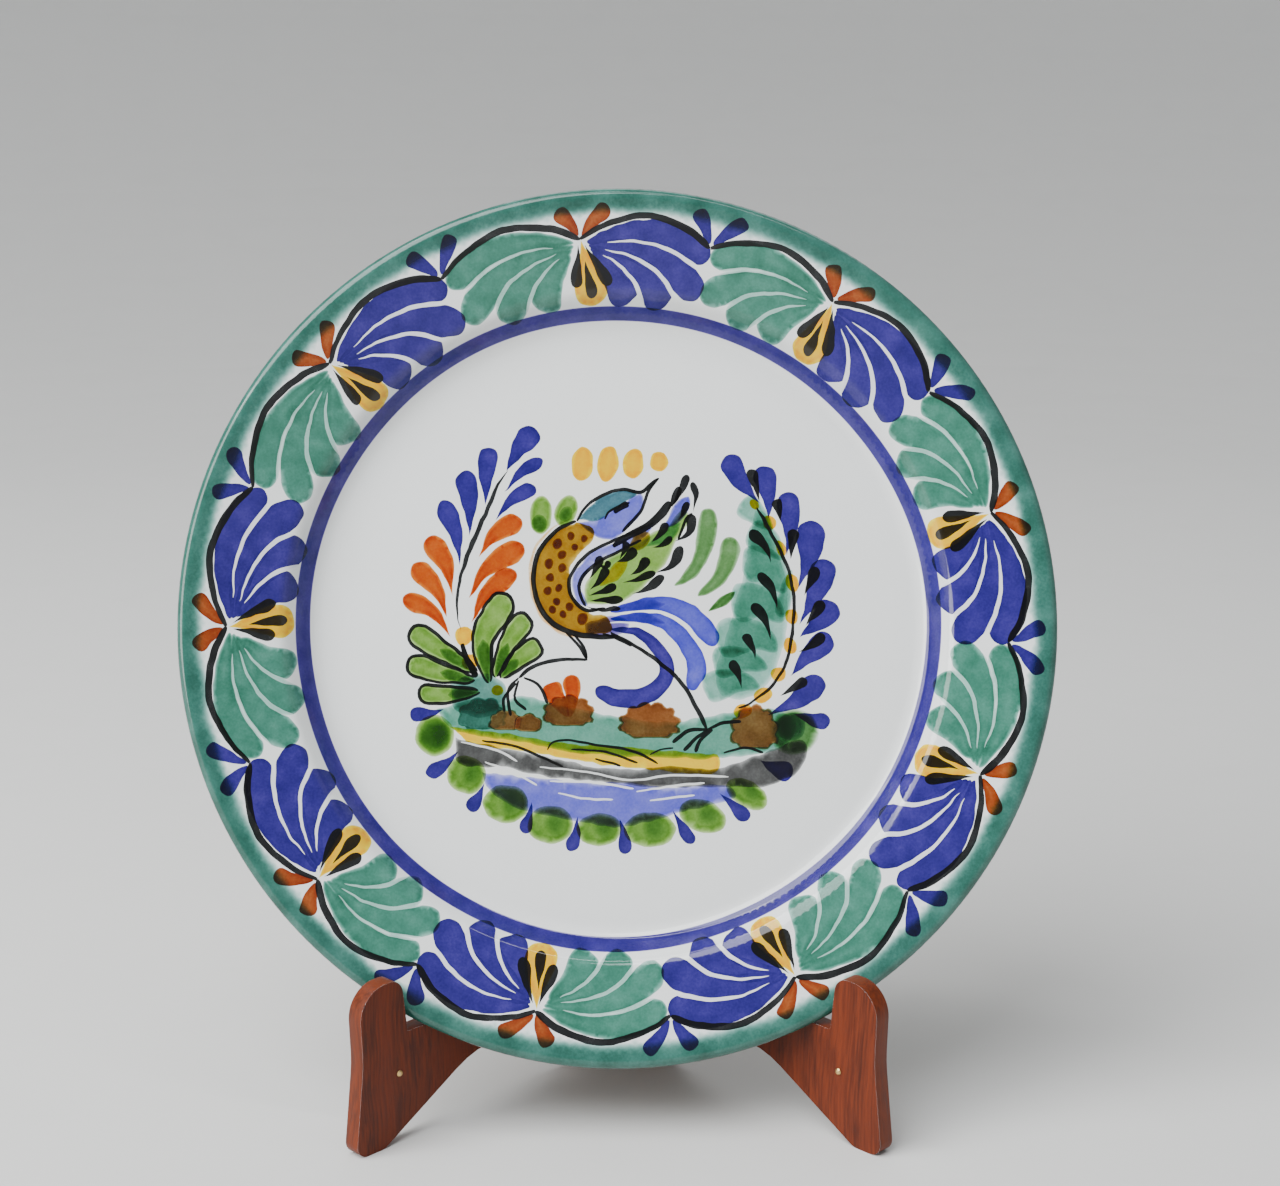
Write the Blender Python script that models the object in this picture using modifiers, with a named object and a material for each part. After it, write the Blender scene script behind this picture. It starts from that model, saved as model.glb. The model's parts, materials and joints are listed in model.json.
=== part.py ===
"""A hand painted ceramic plate standing on a folding wooden stand.

Metres, +Z up. The plate faces -Y and leans back. The stand is two boards that open
like a book: each has a hooked front foot for the rim, a sloping back that the plate's
foot ring rests on, and two small brass hinges that join the boards behind the plate.
"""

import math

import bmesh
import bpy
from mathutils import Matrix, Vector

MM = 0.001

# The plate, turned about its own axis: radii, and heights above the plane of its foot ring.
RIM_R = 165 * MM
LIP_TOP = 29 * MM
LIP_BOTTOM = 22.4 * MM
LIP_ROUND = 3.1 * MM
SHOULDER_R = 126 * MM
SHOULDER_TOP = 20 * MM
WELL_R = 117 * MM
WELL_TOP = 9 * MM
WELL_UNDER = 4 * MM
FOOT_OUTER_R = 107 * MM
FOOT_INNER_R = 99 * MM
PLATE_STEPS = 72

# How it stands.
LEAN = math.radians(15)
HALF_OPEN = math.radians(45)
SEAT_HALF_WIDTH = 74 * MM  # from the middle to where the rim meets each board
HINGE_Y = 37.9 * MM  # puts the origin under the middle of the whole object

# The boards.
BOARD_T = 7 * MM
BOARD_EASE = 0.7 * MM  # rounding of the sawn edges
BOARD_END = 2.6 * MM  # from the hinge line to the board's back edge
BOARD_TOP = 122 * MM
BACK_EDGE_TOP = 97 * MM
SEAT_Z = 43.5 * MM
HOOK_TOP = 65.3 * MM
HOOK_DEPTH = 22.4 * MM
FOOT_DEPTH = 25.8 * MM
ARCH_TOP = 33 * MM  # where the arch's two sides would meet, before its rounding
BRAD_AT = (4.4 * MM, 28 * MM)  # in front of the hook's wall, and above the floor

# The hinges: small brass butt hinges screwed to the boards' inner faces.
LEAF_T = 1 * MM
LEAF_INNER = 0.3 * MM  # from the folding plane to the leaf
LEAF_WIDTH = 12 * MM
LEAF_HEIGHT = 24 * MM
HINGE_Z = {"lower": 26 * MM, "upper": 78 * MM}
KNUCKLE_R = 1.7 * MM
KNUCKLE_GAP = 0.3 * MM
PIN_R = 1 * MM
SCREW_AT = 7.6 * MM  # from the hinge line
SCREW_SPREAD = 7 * MM  # above and below the hinge's middle
SCREW_HEAD_R = 1.9 * MM
SCREW_R = 0.9 * MM
SCREW_LENGTH = 5 * MM

FIT = 0.1 * MM  # clearance between metal pieces
GAP = 0.3 * MM  # clearance where the plate and boards rest on each other
LIP_DIP = 0.9 * MM  # the back of the lip crosses the boards nearer the middle, where it hangs lower
WALL_EASE = 1.4 * MM  # the hook's wall stands off the lip, which it would meet first at its outer edge

WOOD = ("stained_wood", (0.27, 0.085, 0.035), 0.38, 0.0)
GLAZE = ("tin_glaze", (0.80, 0.81, 0.80), 0.12, 0.0)
BRASS = ("brass", (0.72, 0.50, 0.20), 0.35, 1.0)


def clear_scene():
    for obj in list(bpy.data.objects):
        bpy.data.objects.remove(obj, do_unlink=True)


def new_collection(name):
    made = bpy.data.collections.new(name)
    bpy.context.scene.collection.children.link(made)
    return made


def material(look):
    name, colour, roughness, metallic = look
    found = bpy.data.materials.get(name)
    if found:
        return found
    made = bpy.data.materials.new(name)
    made.use_nodes = True
    shader = made.node_tree.nodes["Principled BSDF"]
    shader.inputs["Base Color"].default_value = (*colour, 1.0)
    shader.inputs["Roughness"].default_value = roughness
    shader.inputs["Metallic"].default_value = metallic
    return made


def rounded(corners, arc_step=math.radians(18)):
    """The outline through (x, y, radius) corners, with an arc in place of each corner that has a radius."""
    points = []
    count = len(corners)
    for i, (x, y, radius) in enumerate(corners):
        here = Vector((x, y))
        before = Vector(corners[i - 1][:2]) - here
        after = Vector(corners[(i + 1) % count][:2]) - here
        if radius <= 0:
            points.append(here)
            continue
        inside = before.angle(after)
        turn = math.pi - inside
        reach = radius / math.tan(inside / 2)
        middle = here + (before.normalized() + after.normalized()).normalized() * (
            radius / math.sin(inside / 2)
        )
        start = here + before.normalized() * reach - middle
        way = 1 if before.cross(after) < 0 else -1
        steps = max(2, math.ceil(turn / arc_step))
        for k in range(steps + 1):
            points.append(middle + Matrix.Rotation(way * turn * k / steps, 2) @ start)
    return points


def turned(name, profile, steps, parts, look):
    """A solid of revolution about Z from (radius, height) points that run down its outer side."""
    mesh = bpy.data.meshes.new(name)
    mesh.from_pydata(
        [(r, 0.0, z) for r, z in profile],
        [(i, i + 1) for i in range(len(profile) - 1)],
        [],
    )
    obj = bpy.data.objects.new(name, mesh)
    parts.objects.link(obj)
    lathe = obj.modifiers.new("lathe", "SCREW")
    lathe.steps = lathe.render_steps = steps
    lathe.use_merge_vertices = True
    lathe.merge_threshold = 1e-5
    lathe.use_smooth_shade = True
    obj.data.materials.append(material(look))
    return obj


def slab(name, outline, thickness, parts, look):
    """A board or sheet: an outline of (out from the hinge, height), thick along Y from 0."""
    curve = bpy.data.curves.new(name, "CURVE")
    curve.dimensions = "2D"
    curve.fill_mode = "BOTH"
    curve.extrude = thickness / 2
    spline = curve.splines.new("POLY")
    spline.points.add(len(outline) - 1)
    for point, (x, z) in zip(spline.points, outline):
        point.co = (x, z, 0.0, 1.0)
    spline.use_cyclic_u = True
    flat = bpy.data.objects.new(name + "_outline", curve)
    bpy.context.scene.collection.objects.link(flat)
    bpy.context.view_layer.update()
    evaluated = flat.evaluated_get(bpy.context.evaluated_depsgraph_get())
    mesh = bpy.data.meshes.new_from_object(evaluated)
    bpy.data.objects.remove(flat)
    work = bmesh.new()
    work.from_mesh(mesh)
    bmesh.ops.remove_doubles(work, verts=work.verts, dist=1e-6)
    stand_up = Matrix.Translation((0, thickness / 2, 0)) @ Matrix.Rotation(math.pi / 2, 4, "X")
    bmesh.ops.transform(work, matrix=stand_up, verts=work.verts)
    bmesh.ops.recalc_face_normals(work, faces=work.faces)
    work.to_mesh(mesh)
    work.free()
    mesh.name = name
    obj = bpy.data.objects.new(name, mesh)
    obj.data.materials.clear()
    obj.data.materials.append(material(look))
    parts.objects.link(obj)
    return obj


def rods(name, placed, collection):
    """One helper mesh of (matrix, lower radius, upper radius, length) cones, each centred on its matrix."""
    work = bmesh.new()
    for matrix, low, high, length in placed:
        bmesh.ops.create_cone(
            work, cap_ends=True, segments=20, radius1=low, radius2=high, depth=length, matrix=matrix
        )
    mesh = bpy.data.meshes.new(name)
    work.to_mesh(mesh)
    work.free()
    obj = bpy.data.objects.new(name, mesh)
    collection.objects.link(obj)
    obj.hide_render = True
    obj.display_type = "WIRE"
    return obj


def boolean(obj, other, operation):
    change = obj.modifiers.new(operation.lower(), "BOOLEAN")
    change.operation = operation
    change.object = other


def attach(obj, parent, location=(0, 0, 0), rotation=(0, 0, 0)):
    obj.parent = parent
    obj.location = location
    obj.rotation_euler = rotation


def empty(name, collection, parent=None, location=(0, 0, 0), rotation=(0, 0, 0)):
    made = bpy.data.objects.new(name, None)
    collection.objects.link(made)
    attach(made, parent, location, rotation)
    return made


# Where the plate sits. A board's inner face is this far from the hinge line, square to the board.
FACE = LEAF_INNER + LEAF_T + FIT
LIP_MIDDLE = (LIP_TOP + LIP_BOTTOM) / 2
SEAT_DROP = math.sqrt(RIM_R**2 - SEAT_HALF_WIDTH**2)  # seat to plate centre, along the plate
SEAT_Y = (FACE - SEAT_HALF_WIDTH * math.cos(HALF_OPEN)) / math.sin(HALF_OPEN)
SEAT_R = SEAT_HALF_WIDTH * math.sin(HALF_OPEN) - SEAT_Y * math.cos(HALF_OPEN)
HOOK_WALL = SEAT_R + ((LIP_TOP - LIP_MIDDLE) * math.cos(LEAN) + WALL_EASE) / math.cos(HALF_OPEN)
PLATE_Y = SEAT_Y + LIP_MIDDLE * math.cos(LEAN) + SEAT_DROP * math.sin(LEAN)
PLATE_Z = SEAT_Z + GAP + LIP_DIP - LIP_MIDDLE * math.sin(LEAN) + SEAT_DROP * math.cos(LEAN)


def rest_line(height):
    """How far along the board the plane of the plate's foot ring is, at a height, less the gap."""
    plane_y = PLATE_Y + (height - PLATE_Z) * math.tan(LEAN) + GAP / math.cos(LEAN)
    return (FACE * math.sin(HALF_OPEN) - plane_y) / math.cos(HALF_OPEN)


def plate_profile():
    """Half the plate's section, from the middle of its face round the lip to the middle of its back."""
    flange_drop = LIP_TOP - LIP_BOTTOM
    corners = [
        (0, WELL_TOP, 0),
        (WELL_R, WELL_TOP, 8 * MM),
        (SHOULDER_R, SHOULDER_TOP, 6 * MM),
        (RIM_R, LIP_TOP, LIP_ROUND),
        (RIM_R, LIP_BOTTOM, LIP_ROUND),
        (SHOULDER_R + 3.5 * MM, SHOULDER_TOP - flange_drop + 0.9 * MM, 9 * MM),
        (WELL_R + 3.3 * MM, WELL_UNDER, 9 * MM),
        (FOOT_OUTER_R + 1 * MM, WELL_UNDER, 1 * MM),
        (FOOT_OUTER_R, 0, 1 * MM),
        (FOOT_INNER_R, 0, 1 * MM),
        (FOOT_INNER_R - 1 * MM, WELL_UNDER, 1 * MM),
        (0, WELL_UNDER, 0),
    ]
    return rounded(corners, math.radians(24))


def board_outline():
    """The board's sawn outline, anticlockwise from its back foot."""
    rest_low = 68 * MM
    rest_high = 116 * MM
    return rounded(
        [
            (BOARD_END, 0, 1 * MM),
            (21 * MM, 0, 6 * MM),
            (HOOK_WALL - 46 * MM, ARCH_TOP, 38 * MM),
            (HOOK_WALL + 12.5 * MM, 0, 6 * MM),
            (HOOK_WALL + FOOT_DEPTH, 0, 5 * MM),
            (HOOK_WALL + HOOK_DEPTH - 1 * MM, 36 * MM, 50 * MM),
            (HOOK_WALL + HOOK_DEPTH, HOOK_TOP, 12 * MM),
            (HOOK_WALL + 2.4 * MM, HOOK_TOP, 6 * MM),
            (HOOK_WALL, SEAT_Z, 1 * MM),
            (HOOK_WALL - 24 * MM, SEAT_Z, 12 * MM),
            (rest_line(rest_low), rest_low, 30 * MM),
            (rest_line(rest_high), rest_high, 0),
            (rest_line(BOARD_TOP) - 3 * MM, BOARD_TOP, 5 * MM),
            (rest_line(BOARD_TOP) - 12 * MM, BOARD_TOP + 2 * MM, 12 * MM),
            (BOARD_END, BACK_EDGE_TOP, 12 * MM),
        ]
    )


def screw_places():
    """The four screws of one board, as (hinge, number, height)."""
    for hinge, middle in HINGE_Z.items():
        for number, way in enumerate((-1, 1), 1):
            yield hinge, number, middle + way * SCREW_SPREAD


def across(side, distance, out, height):
    """A frame on a board whose Z points from the folding plane out through the board."""
    turn = Matrix.Rotation(-side * math.pi / 2, 4, "X")
    return Matrix.Translation((out, side * distance, height)) @ turn


def make_board(side_name, side, pivot, parts, cutters):
    board = slab(side_name + "_board", board_outline(), BOARD_T, parts, WOOD)
    attach(board, pivot, (0, FACE if side > 0 else -FACE - BOARD_T, 0))
    ease = board.modifiers.new("eased edges", "BEVEL")
    ease.width = BOARD_EASE
    ease.segments = 2
    ease.limit_method = "ANGLE"
    ease.angle_limit = math.radians(50)
    depth = SCREW_LENGTH + FIT
    holes = [
        (across(side, FACE - FIT + depth / 2, SCREW_AT, z), SCREW_R + FIT, SCREW_R + FIT, depth)
        for _, _, z in screw_places()
    ]
    brad_hole = 0.5 * MM + FIT
    holes.append(
        (across(side, FACE + 2 * MM, HOOK_WALL + BRAD_AT[0], BRAD_AT[1]), brad_hole, brad_hole, 5 * MM)
    )
    drill = rods(side_name + "_board_holes", holes, cutters)
    drill.parent = pivot
    boolean(board, drill, "DIFFERENCE")
    brad = turned(
        side_name + "_brad",
        [(0, -0.8 * MM), (0.9 * MM, -0.6 * MM), (1.3 * MM, -0.15 * MM), (1.3 * MM, 0),
         (0.5 * MM, 0), (0.5 * MM, 3.6 * MM), (0, 4.2 * MM)][::-1],
        16,
        parts,
        BRASS,
    )
    place = across(side, FACE - FIT, HOOK_WALL + BRAD_AT[0], BRAD_AT[1])
    attach(brad, pivot, place.to_translation(), place.to_euler())


def knuckle_spans(side):
    """The heights, from the hinge's middle, of the barrel pieces that belong to this side's leaf."""
    third = LEAF_HEIGHT / 6
    if side > 0:
        return [(-third + KNUCKLE_GAP, third - KNUCKLE_GAP)]
    return [(-3 * third, -third), (third, 3 * third)]


def leaf_outline(side):
    """A leaf with tongues that reach in to its own knuckles and stop short of the other's."""
    root = KNUCKLE_R + 0.4 * MM
    tongue = PIN_R + 2 * FIT
    half = LEAF_HEIGHT / 2
    points = [(LEAF_WIDTH, -half), (LEAF_WIDTH, half)]
    edge = [half]
    for low, high in reversed(knuckle_spans(side)):
        points += [(root, high)] if high < half else []
        points += [(tongue, high), (tongue, low)]
        points += [(root, low)] if low > -half else []
        edge.append(low)
    if side > 0:
        points = points[:2] + [(root, half)] + points[2:] + [(root, -half)]
    return points


def make_leaf(hinge, side_name, side, pivot, parts, cutters):
    """One leaf of a hinge, its knuckles joined on, its pin hole bored and its screw holes countersunk."""
    name = f"{hinge}_hinge_{side_name}_leaf"
    middle = HINGE_Z[hinge]
    leaf = slab(name, leaf_outline(side), LEAF_T, parts, BRASS)
    inner = LEAF_INNER if side > 0 else -LEAF_INNER - LEAF_T
    attach(leaf, pivot, (0, inner, middle))
    spans = knuckle_spans(side)
    barrel = rods(
        name + "_knuckles",
        [
            (Matrix.Translation((0, 0, middle + (low + high) / 2)), KNUCKLE_R, KNUCKLE_R, high - low)
            for low, high in spans
        ],
        cutters,
    )
    bore_r = PIN_R + FIT
    bore = rods(
        name + "_bore",
        [(Matrix.Translation((0, 0, middle)), bore_r, bore_r, LEAF_HEIGHT + 4 * MM)],
        cutters,
    )
    sink = []
    for number, way in enumerate((-1, 1), 1):
        height = middle + way * SCREW_SPREAD
        head = across(side, LEAF_INNER + LEAF_T / 2, SCREW_AT, height)
        reach = LEAF_T * 0.75
        sink.append((head, SCREW_HEAD_R + reach, SCREW_HEAD_R - reach, 2 * reach))
        shank_r = SCREW_R + FIT
        sink.append((head, shank_r, shank_r, 4 * LEAF_T))
    countersinks = rods(name + "_cones", sink[0::2], cutters)
    clearance = rods(name + "_clearance", sink[1::2], cutters)
    for helper, operation in (
        (barrel, "UNION"),
        (bore, "DIFFERENCE"),
        (countersinks, "DIFFERENCE"),
        (clearance, "DIFFERENCE"),
    ):
        helper.parent = pivot
        boolean(leaf, helper, operation)


def make_screws(side_name, side, pivot, parts):
    """Countersunk wood screws whose heads lie level with the leaf."""
    neck = LEAF_T
    profile = [
        (0, 0),
        (SCREW_HEAD_R - FIT, 0),
        (SCREW_R, neck),
        (SCREW_R, SCREW_LENGTH - 1 * MM),
        (0, SCREW_LENGTH),
    ]
    for hinge, number, height in screw_places():
        screw = turned(
            f"{hinge}_{side_name}_screw_{number}", profile[::-1], 16, parts, BRASS
        )
        place = across(side, LEAF_INNER + FIT, SCREW_AT, height)
        attach(screw, pivot, place.to_translation(), place.to_euler())


def make_pins(pivot, parts):
    """Each pin fills its three knuckles and has a small button at either end."""
    button = KNUCKLE_R - FIT
    half = LEAF_HEIGHT / 2 + FIT
    profile = [
        (0, half + 0.8 * MM),
        (button * 0.7, half + 0.7 * MM),
        (button, half + 0.3 * MM),
        (button, half),
        (PIN_R, half),
        (PIN_R, -half),
        (button, -half),
        (button, -half - 0.3 * MM),
        (button * 0.7, -half - 0.7 * MM),
        (0, -half - 0.8 * MM),
    ]
    for hinge, middle in HINGE_Z.items():
        pin = turned(hinge + "_hinge_pin", profile, 20, parts, BRASS)
        attach(pin, pivot, (0, 0, middle))


def make_plate(stand, parts):
    plate = turned("plate", plate_profile(), PLATE_STEPS, parts, GLAZE)
    attach(plate, stand, (0, PLATE_Y, PLATE_Z), (math.pi / 2 - LEAN, 0, 0))


def build():
    clear_scene()
    parts = new_collection("display_plate")
    cutters = new_collection("cutters")
    hinge_line = empty("hinge_line", parts, None, (0, HINGE_Y, 0))
    make_plate(hinge_line, parts)
    for side_name, side in (("left", -1), ("right", 1)):
        turn = -math.pi / 2 + side * HALF_OPEN
        pivot = empty(side_name + "_pivot", parts, hinge_line, (0, 0, 0), (0, 0, turn))
        make_board(side_name, side, pivot, parts, cutters)
        for hinge in HINGE_Z:
            make_leaf(hinge, side_name, side, pivot, parts, cutters)
        make_screws(side_name, side, pivot, parts)
        if side < 0:
            make_pins(pivot, parts)
    bpy.context.view_layer.update()


build()
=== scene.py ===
# %% [markdown]
# # A painted plate on a folding wooden stand
#
# This lesson builds a tin-glazed earthenware plate, painted by hand with a bird, leaves and a
# scalloped garland, and the hinged wooden stand it leans on. The engineering model of the same
# object is already measured and jointed, so we load it first and take every position from it.
# The interesting part is the painting: each brush stroke is a shape with its own amount of
# pigment, and where strokes cross their pigments add up, as they do on a real plate.

import json
import math

import bmesh
import bpy
import numpy as np
from mathutils import Matrix, Vector, kdtree, noise
from mathutils.geometry import delaunay_2d_cdt


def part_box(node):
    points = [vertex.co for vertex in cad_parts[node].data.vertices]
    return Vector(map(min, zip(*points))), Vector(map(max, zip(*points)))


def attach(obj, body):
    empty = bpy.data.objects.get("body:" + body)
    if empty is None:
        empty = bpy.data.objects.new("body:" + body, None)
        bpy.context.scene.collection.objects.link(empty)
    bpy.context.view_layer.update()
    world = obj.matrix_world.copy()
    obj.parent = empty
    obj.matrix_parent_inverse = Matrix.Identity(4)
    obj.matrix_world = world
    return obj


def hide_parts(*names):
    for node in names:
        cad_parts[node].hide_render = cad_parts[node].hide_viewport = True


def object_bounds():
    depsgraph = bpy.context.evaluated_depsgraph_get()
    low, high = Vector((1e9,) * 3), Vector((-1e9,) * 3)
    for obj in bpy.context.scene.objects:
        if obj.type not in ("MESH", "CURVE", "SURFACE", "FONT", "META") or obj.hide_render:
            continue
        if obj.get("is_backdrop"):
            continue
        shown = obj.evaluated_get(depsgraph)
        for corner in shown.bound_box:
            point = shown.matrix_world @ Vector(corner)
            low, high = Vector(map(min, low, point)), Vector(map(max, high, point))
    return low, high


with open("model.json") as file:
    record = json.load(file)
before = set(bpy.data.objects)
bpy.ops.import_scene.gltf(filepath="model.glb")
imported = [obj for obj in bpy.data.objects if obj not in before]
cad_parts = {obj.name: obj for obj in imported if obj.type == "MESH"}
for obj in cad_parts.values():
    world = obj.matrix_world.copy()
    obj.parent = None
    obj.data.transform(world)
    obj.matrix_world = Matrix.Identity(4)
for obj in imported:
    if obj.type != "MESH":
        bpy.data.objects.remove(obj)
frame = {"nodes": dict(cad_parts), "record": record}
size_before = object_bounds()
MM = 0.001
mounts = {m["name"]: m for m in frame["record"]["mounts"]}

# %% [markdown]
# ## The plate's section
#
# A thrown plate is one outline turned about an axis. We write the outline as corners with a
# radius each and replace every corner by an arc. The outline starts at the middle of the face,
# runs out over the shoulder to the lip, and comes back underneath past the foot ring. All plate
# sizes here are in millimetres, in the plate's own frame with its axis along Z.

# %% The section, with rounded corners
RIM = 165.0
CORNERS = [
    (0, 9, 0), (117, 9, 9), (126, 20, 7), (RIM, 29, 3.1), (RIM, 22.4, 3.1),
    (129.5, 14.3, 9), (120.3, 4, 9), (108, 4, 1), (107, 0, 1), (99, 0, 1), (98, 4, 1), (0, 4, 0),
]


def rounded(corners, step=math.radians(7)):
    """The line through (x, y, radius) corners, with an arc in place of each corner that has a radius."""
    points = []
    for i, (x, y, radius) in enumerate(corners):
        here = Vector((x, y))
        if radius <= 0:
            points.append(here)
            continue
        back = (Vector(corners[i - 1][:2]) - here).normalized()
        on = (Vector(corners[(i + 1) % len(corners)][:2]) - here).normalized()
        half = back.angle(on) / 2
        middle = here + (back + on).normalized() * (radius / math.sin(half))
        start = here + back * (radius / math.tan(half)) - middle
        turn = (math.pi - 2 * half) * (1 if back.cross(on) < 0 else -1)
        steps = max(2, math.ceil(abs(turn) / step))
        points += [middle + Matrix.Rotation(turn * k / steps, 2) @ start for k in range(steps + 1)]
    return points


section = np.array(rounded(CORNERS))
equator = int(np.argmax(section[:, 0] > RIM - 1e-4))
fine = []
for a, b in zip(section[:equator], section[1 : equator + 1]):
    count = max(1, int(np.linalg.norm(b - a) / 0.4))
    fine += [a + (b - a) * k / count for k in range(count)]
face_line = np.array(fine + [section[equator]])
slope = np.gradient(face_line, axis=0)
face_normal = np.stack([-slope[:, 1], slope[:, 0]], 1)
face_normal /= np.linalg.norm(face_normal, axis=1)[:, None]
axis = Vector(mounts["plate_well"]["axis"]).normalized()
PLATE_MIDDLE = Vector(mounts["plate_well"]["pos_m"]) - axis * 9 * MM
across = Vector((1, 0, 0))
TO_PLACE = Matrix((across, axis.cross(across), axis)).transposed().to_4x4()
TO_PLACE = Matrix.Translation(PLATE_MIDDLE) @ TO_PLACE @ Matrix.Scale(MM, 4)
print("section of", len(section), "points; the lip's outermost line is", round(section[equator][1], 2), "mm up")

# %% [markdown]
# ## Pigments
#
# A glaze painter's colours are transparent, so we describe each one by how strongly it absorbs
# red, green and blue. White glaze seen through a stroke is white times exp(-absorption), and two
# strokes on top of each other simply add their absorptions. A colour is easier to choose than an
# absorption, so we work back from the colour that one full coat should have.

# %% Pigments from the colour of one coat
GLAZE_SHOWN = 0.665


def coat(red, green, blue):
    """The absorption whose single coat over the glaze has this display colour, 0 to 255."""
    shown = np.array([red, green, blue]) / 255
    linear = np.where(shown <= 0.04045, shown / 12.92, ((shown + 0.055) / 1.055) ** 2.4)
    return np.maximum(-np.log(linear / GLAZE_SHOWN), 0.0)


PIGMENTS = {
    "blue": coat(38, 28, 104),
    "lavender": coat(84, 84, 172),
    "band": coat(40, 86, 76),
    "petal": coat(48, 102, 86),
    "teal": coat(60, 116, 98),
    "green": coat(54, 94, 44),
    "light_green": coat(94, 130, 52),
    "black": coat(24, 25, 26),
    "orange": coat(150, 56, 4),
    "rust": coat(124, 52, 14),
    "yellow": coat(202, 152, 2),
    "olive": coat(128, 92, 10),
    "slate": coat(62, 100, 112),
    "brown": coat(88, 42, 10),
    "grey": coat(62, 62, 62),
}
print(len(PIGMENTS), "pigments")

# %% [markdown]
# ## Brush strokes
#
# A round brush laid down and lifted leaves a shape along a curved path: its width grows as the
# brush is pressed and ends where it is lifted. Each kind of stroke has three numbers. `rise` says
# how slowly it widens, `fall` how late it narrows, and `blunt` how round its end is.

# %% Stroke outlines
SHAPES = {
    "petal": (0.5, 11, 0.5),
    "drop": (1.15, 5, 0.55),
    "leaf": (0.8, 2.2, 0.8),
    "dab": (0.5, 1.0, 0.5),
    "line": (0.16, 24, 0.5),
}
strokes = []


def smooth_path(points, t):
    """Points at fractions t of the length of a smooth curve through the given points."""
    given = np.array(points, float)
    ends = np.vstack([2 * given[0] - given[1], given, 2 * given[-1] - given[-2]])
    curve = []
    for a, b, c, d in zip(ends, ends[1:], ends[2:], ends[3:]):
        for s in np.linspace(0, 1, 14, endpoint=False):
            bend = (2 * a - 5 * b + 4 * c - d) * s**2 + (3 * b - a - 3 * c + d) * s**3
            curve.append(0.5 * (2 * b + (c - a) * s + bend))
    curve = np.array(curve + [given[-1]])
    run = np.r_[0, np.cumsum(np.linalg.norm(np.diff(curve, axis=0), axis=1))]
    return np.stack([np.interp(t * run[-1], run, curve[:, k]) for k in (0, 1)], 1)


def unsteady(outline, amount):
    """The same outline as a hand would draw it, a little off all the way round."""
    seed = len(strokes) * 7.3
    return np.array([
        (x + amount * noise.noise((x * 0.25, y * 0.25, seed)),
         y + amount * noise.noise((x * 0.25, y * 0.25, seed + 50)))
        for x, y in outline
    ])


def keep(outline, inner, pigment, load, soft, pool, layer=None):
    strokes.append(dict(outline=outline, inner=np.vstack(inner), pigment=pigment, load=load, soft=soft,
                        pool=pool, layer=layer))
    return outline


def brush(points, width, pigment, shape="petal", load=1.0, soft=0.25, pool=0.22, hand=0.5, layer=None):
    """One stroke along a path. soft is how far the colour fades in from the edge, and pool how much gathers
    there. Strokes of the same layer run together while wet, so they don't darken where they overlap."""
    length = np.linalg.norm(np.diff(np.array(points, float), axis=0), axis=1).sum()
    count = int(np.clip(length / 0.9, 9, 70))
    t = 0.5 - 0.5 * np.cos(np.pi * np.linspace(0, 1, count))
    path = smooth_path(points, t)
    rise, fall, blunt = SHAPES[shape]
    half = t**rise * (1 - t**fall) ** blunt
    half *= width / 2 / half.max()
    run = np.gradient(path, axis=0)
    side = np.stack([-run[:, 1], run[:, 0]], 1) / np.linalg.norm(run, axis=1)[:, None]
    left, right = path + side * half[:, None], path - side * half[:, None]
    outline = unsteady(np.vstack([left, right[-2:0:-1]]), hand)
    inner = [path[1:-1]]
    if width > 2.4:
        inner += [path[1:-1] + side[1:-1] * half[1:-1, None] * k for k in (-0.62, 0.62)]
    return keep(outline, inner, pigment, load, soft, pool, layer)


def wash(points, pigment, load=1.0, soft=2.0, pool=0.1, hand=0.8):
    """A filled area with a smooth closed outline, for backgrounds and bodies."""
    ring = np.vstack([points, points[:1]])
    length = np.linalg.norm(np.diff(ring, axis=0), axis=1).sum()
    outline = smooth_path(ring, np.linspace(0, 1, int(length / 1.4)))[:-1]
    outline = unsteady(outline, hand)
    middle = outline.mean(0)
    inward = (middle - outline) / np.linalg.norm(middle - outline, axis=1)[:, None]
    inner = [outline + inward * k for k in (1.0, 2.2)]
    return keep(outline, inner, pigment, load, soft, pool)


def dab(x, y, width, height, pigment, tilt=0.0, **how):
    """A single touch of the brush, an oval."""
    reach = Vector((math.sin(math.radians(tilt)), math.cos(math.radians(tilt)))) * height / 2
    return brush([(x - reach.x, y - reach.y), (x + reach.x, y + reach.y)], width, pigment, "dab", **how)


def line(text):
    """The points of a path written as "x y, x y, x y"."""
    return [tuple(map(float, point.split())) for point in text.split(",")]


def table(text):
    """Paths and widths written as "x y, x y: width; x y, x y: width"."""
    for row in text.split(";"):
        path, width = row.split(":")
        yield line(path), float(width)


# %% [markdown]
# ## The garland on the rim
#
# The rim repeats nine times, but a painter spaces the repeats by eye, so they are a few degrees
# uneven. Each repeat hangs from a junction: a black scallop either side, a pair of orange leaves
# outwards, a yellow drop inwards, a blue fan clockwise and the next junction's green fan after it.

# %% One repeat, nine times
JUNCTIONS = [-5.4, 33.6, 73.0, 112.3, 153.2, 192.3, 230.2, 270.3, 312.6]


def polar(degrees, radius):
    """A point on the plate: clockwise from the top, and out as a fraction of the rim's radius."""
    angle = math.radians(degrees)
    return np.array([math.sin(angle), math.cos(angle)]) * radius * RIM


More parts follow.
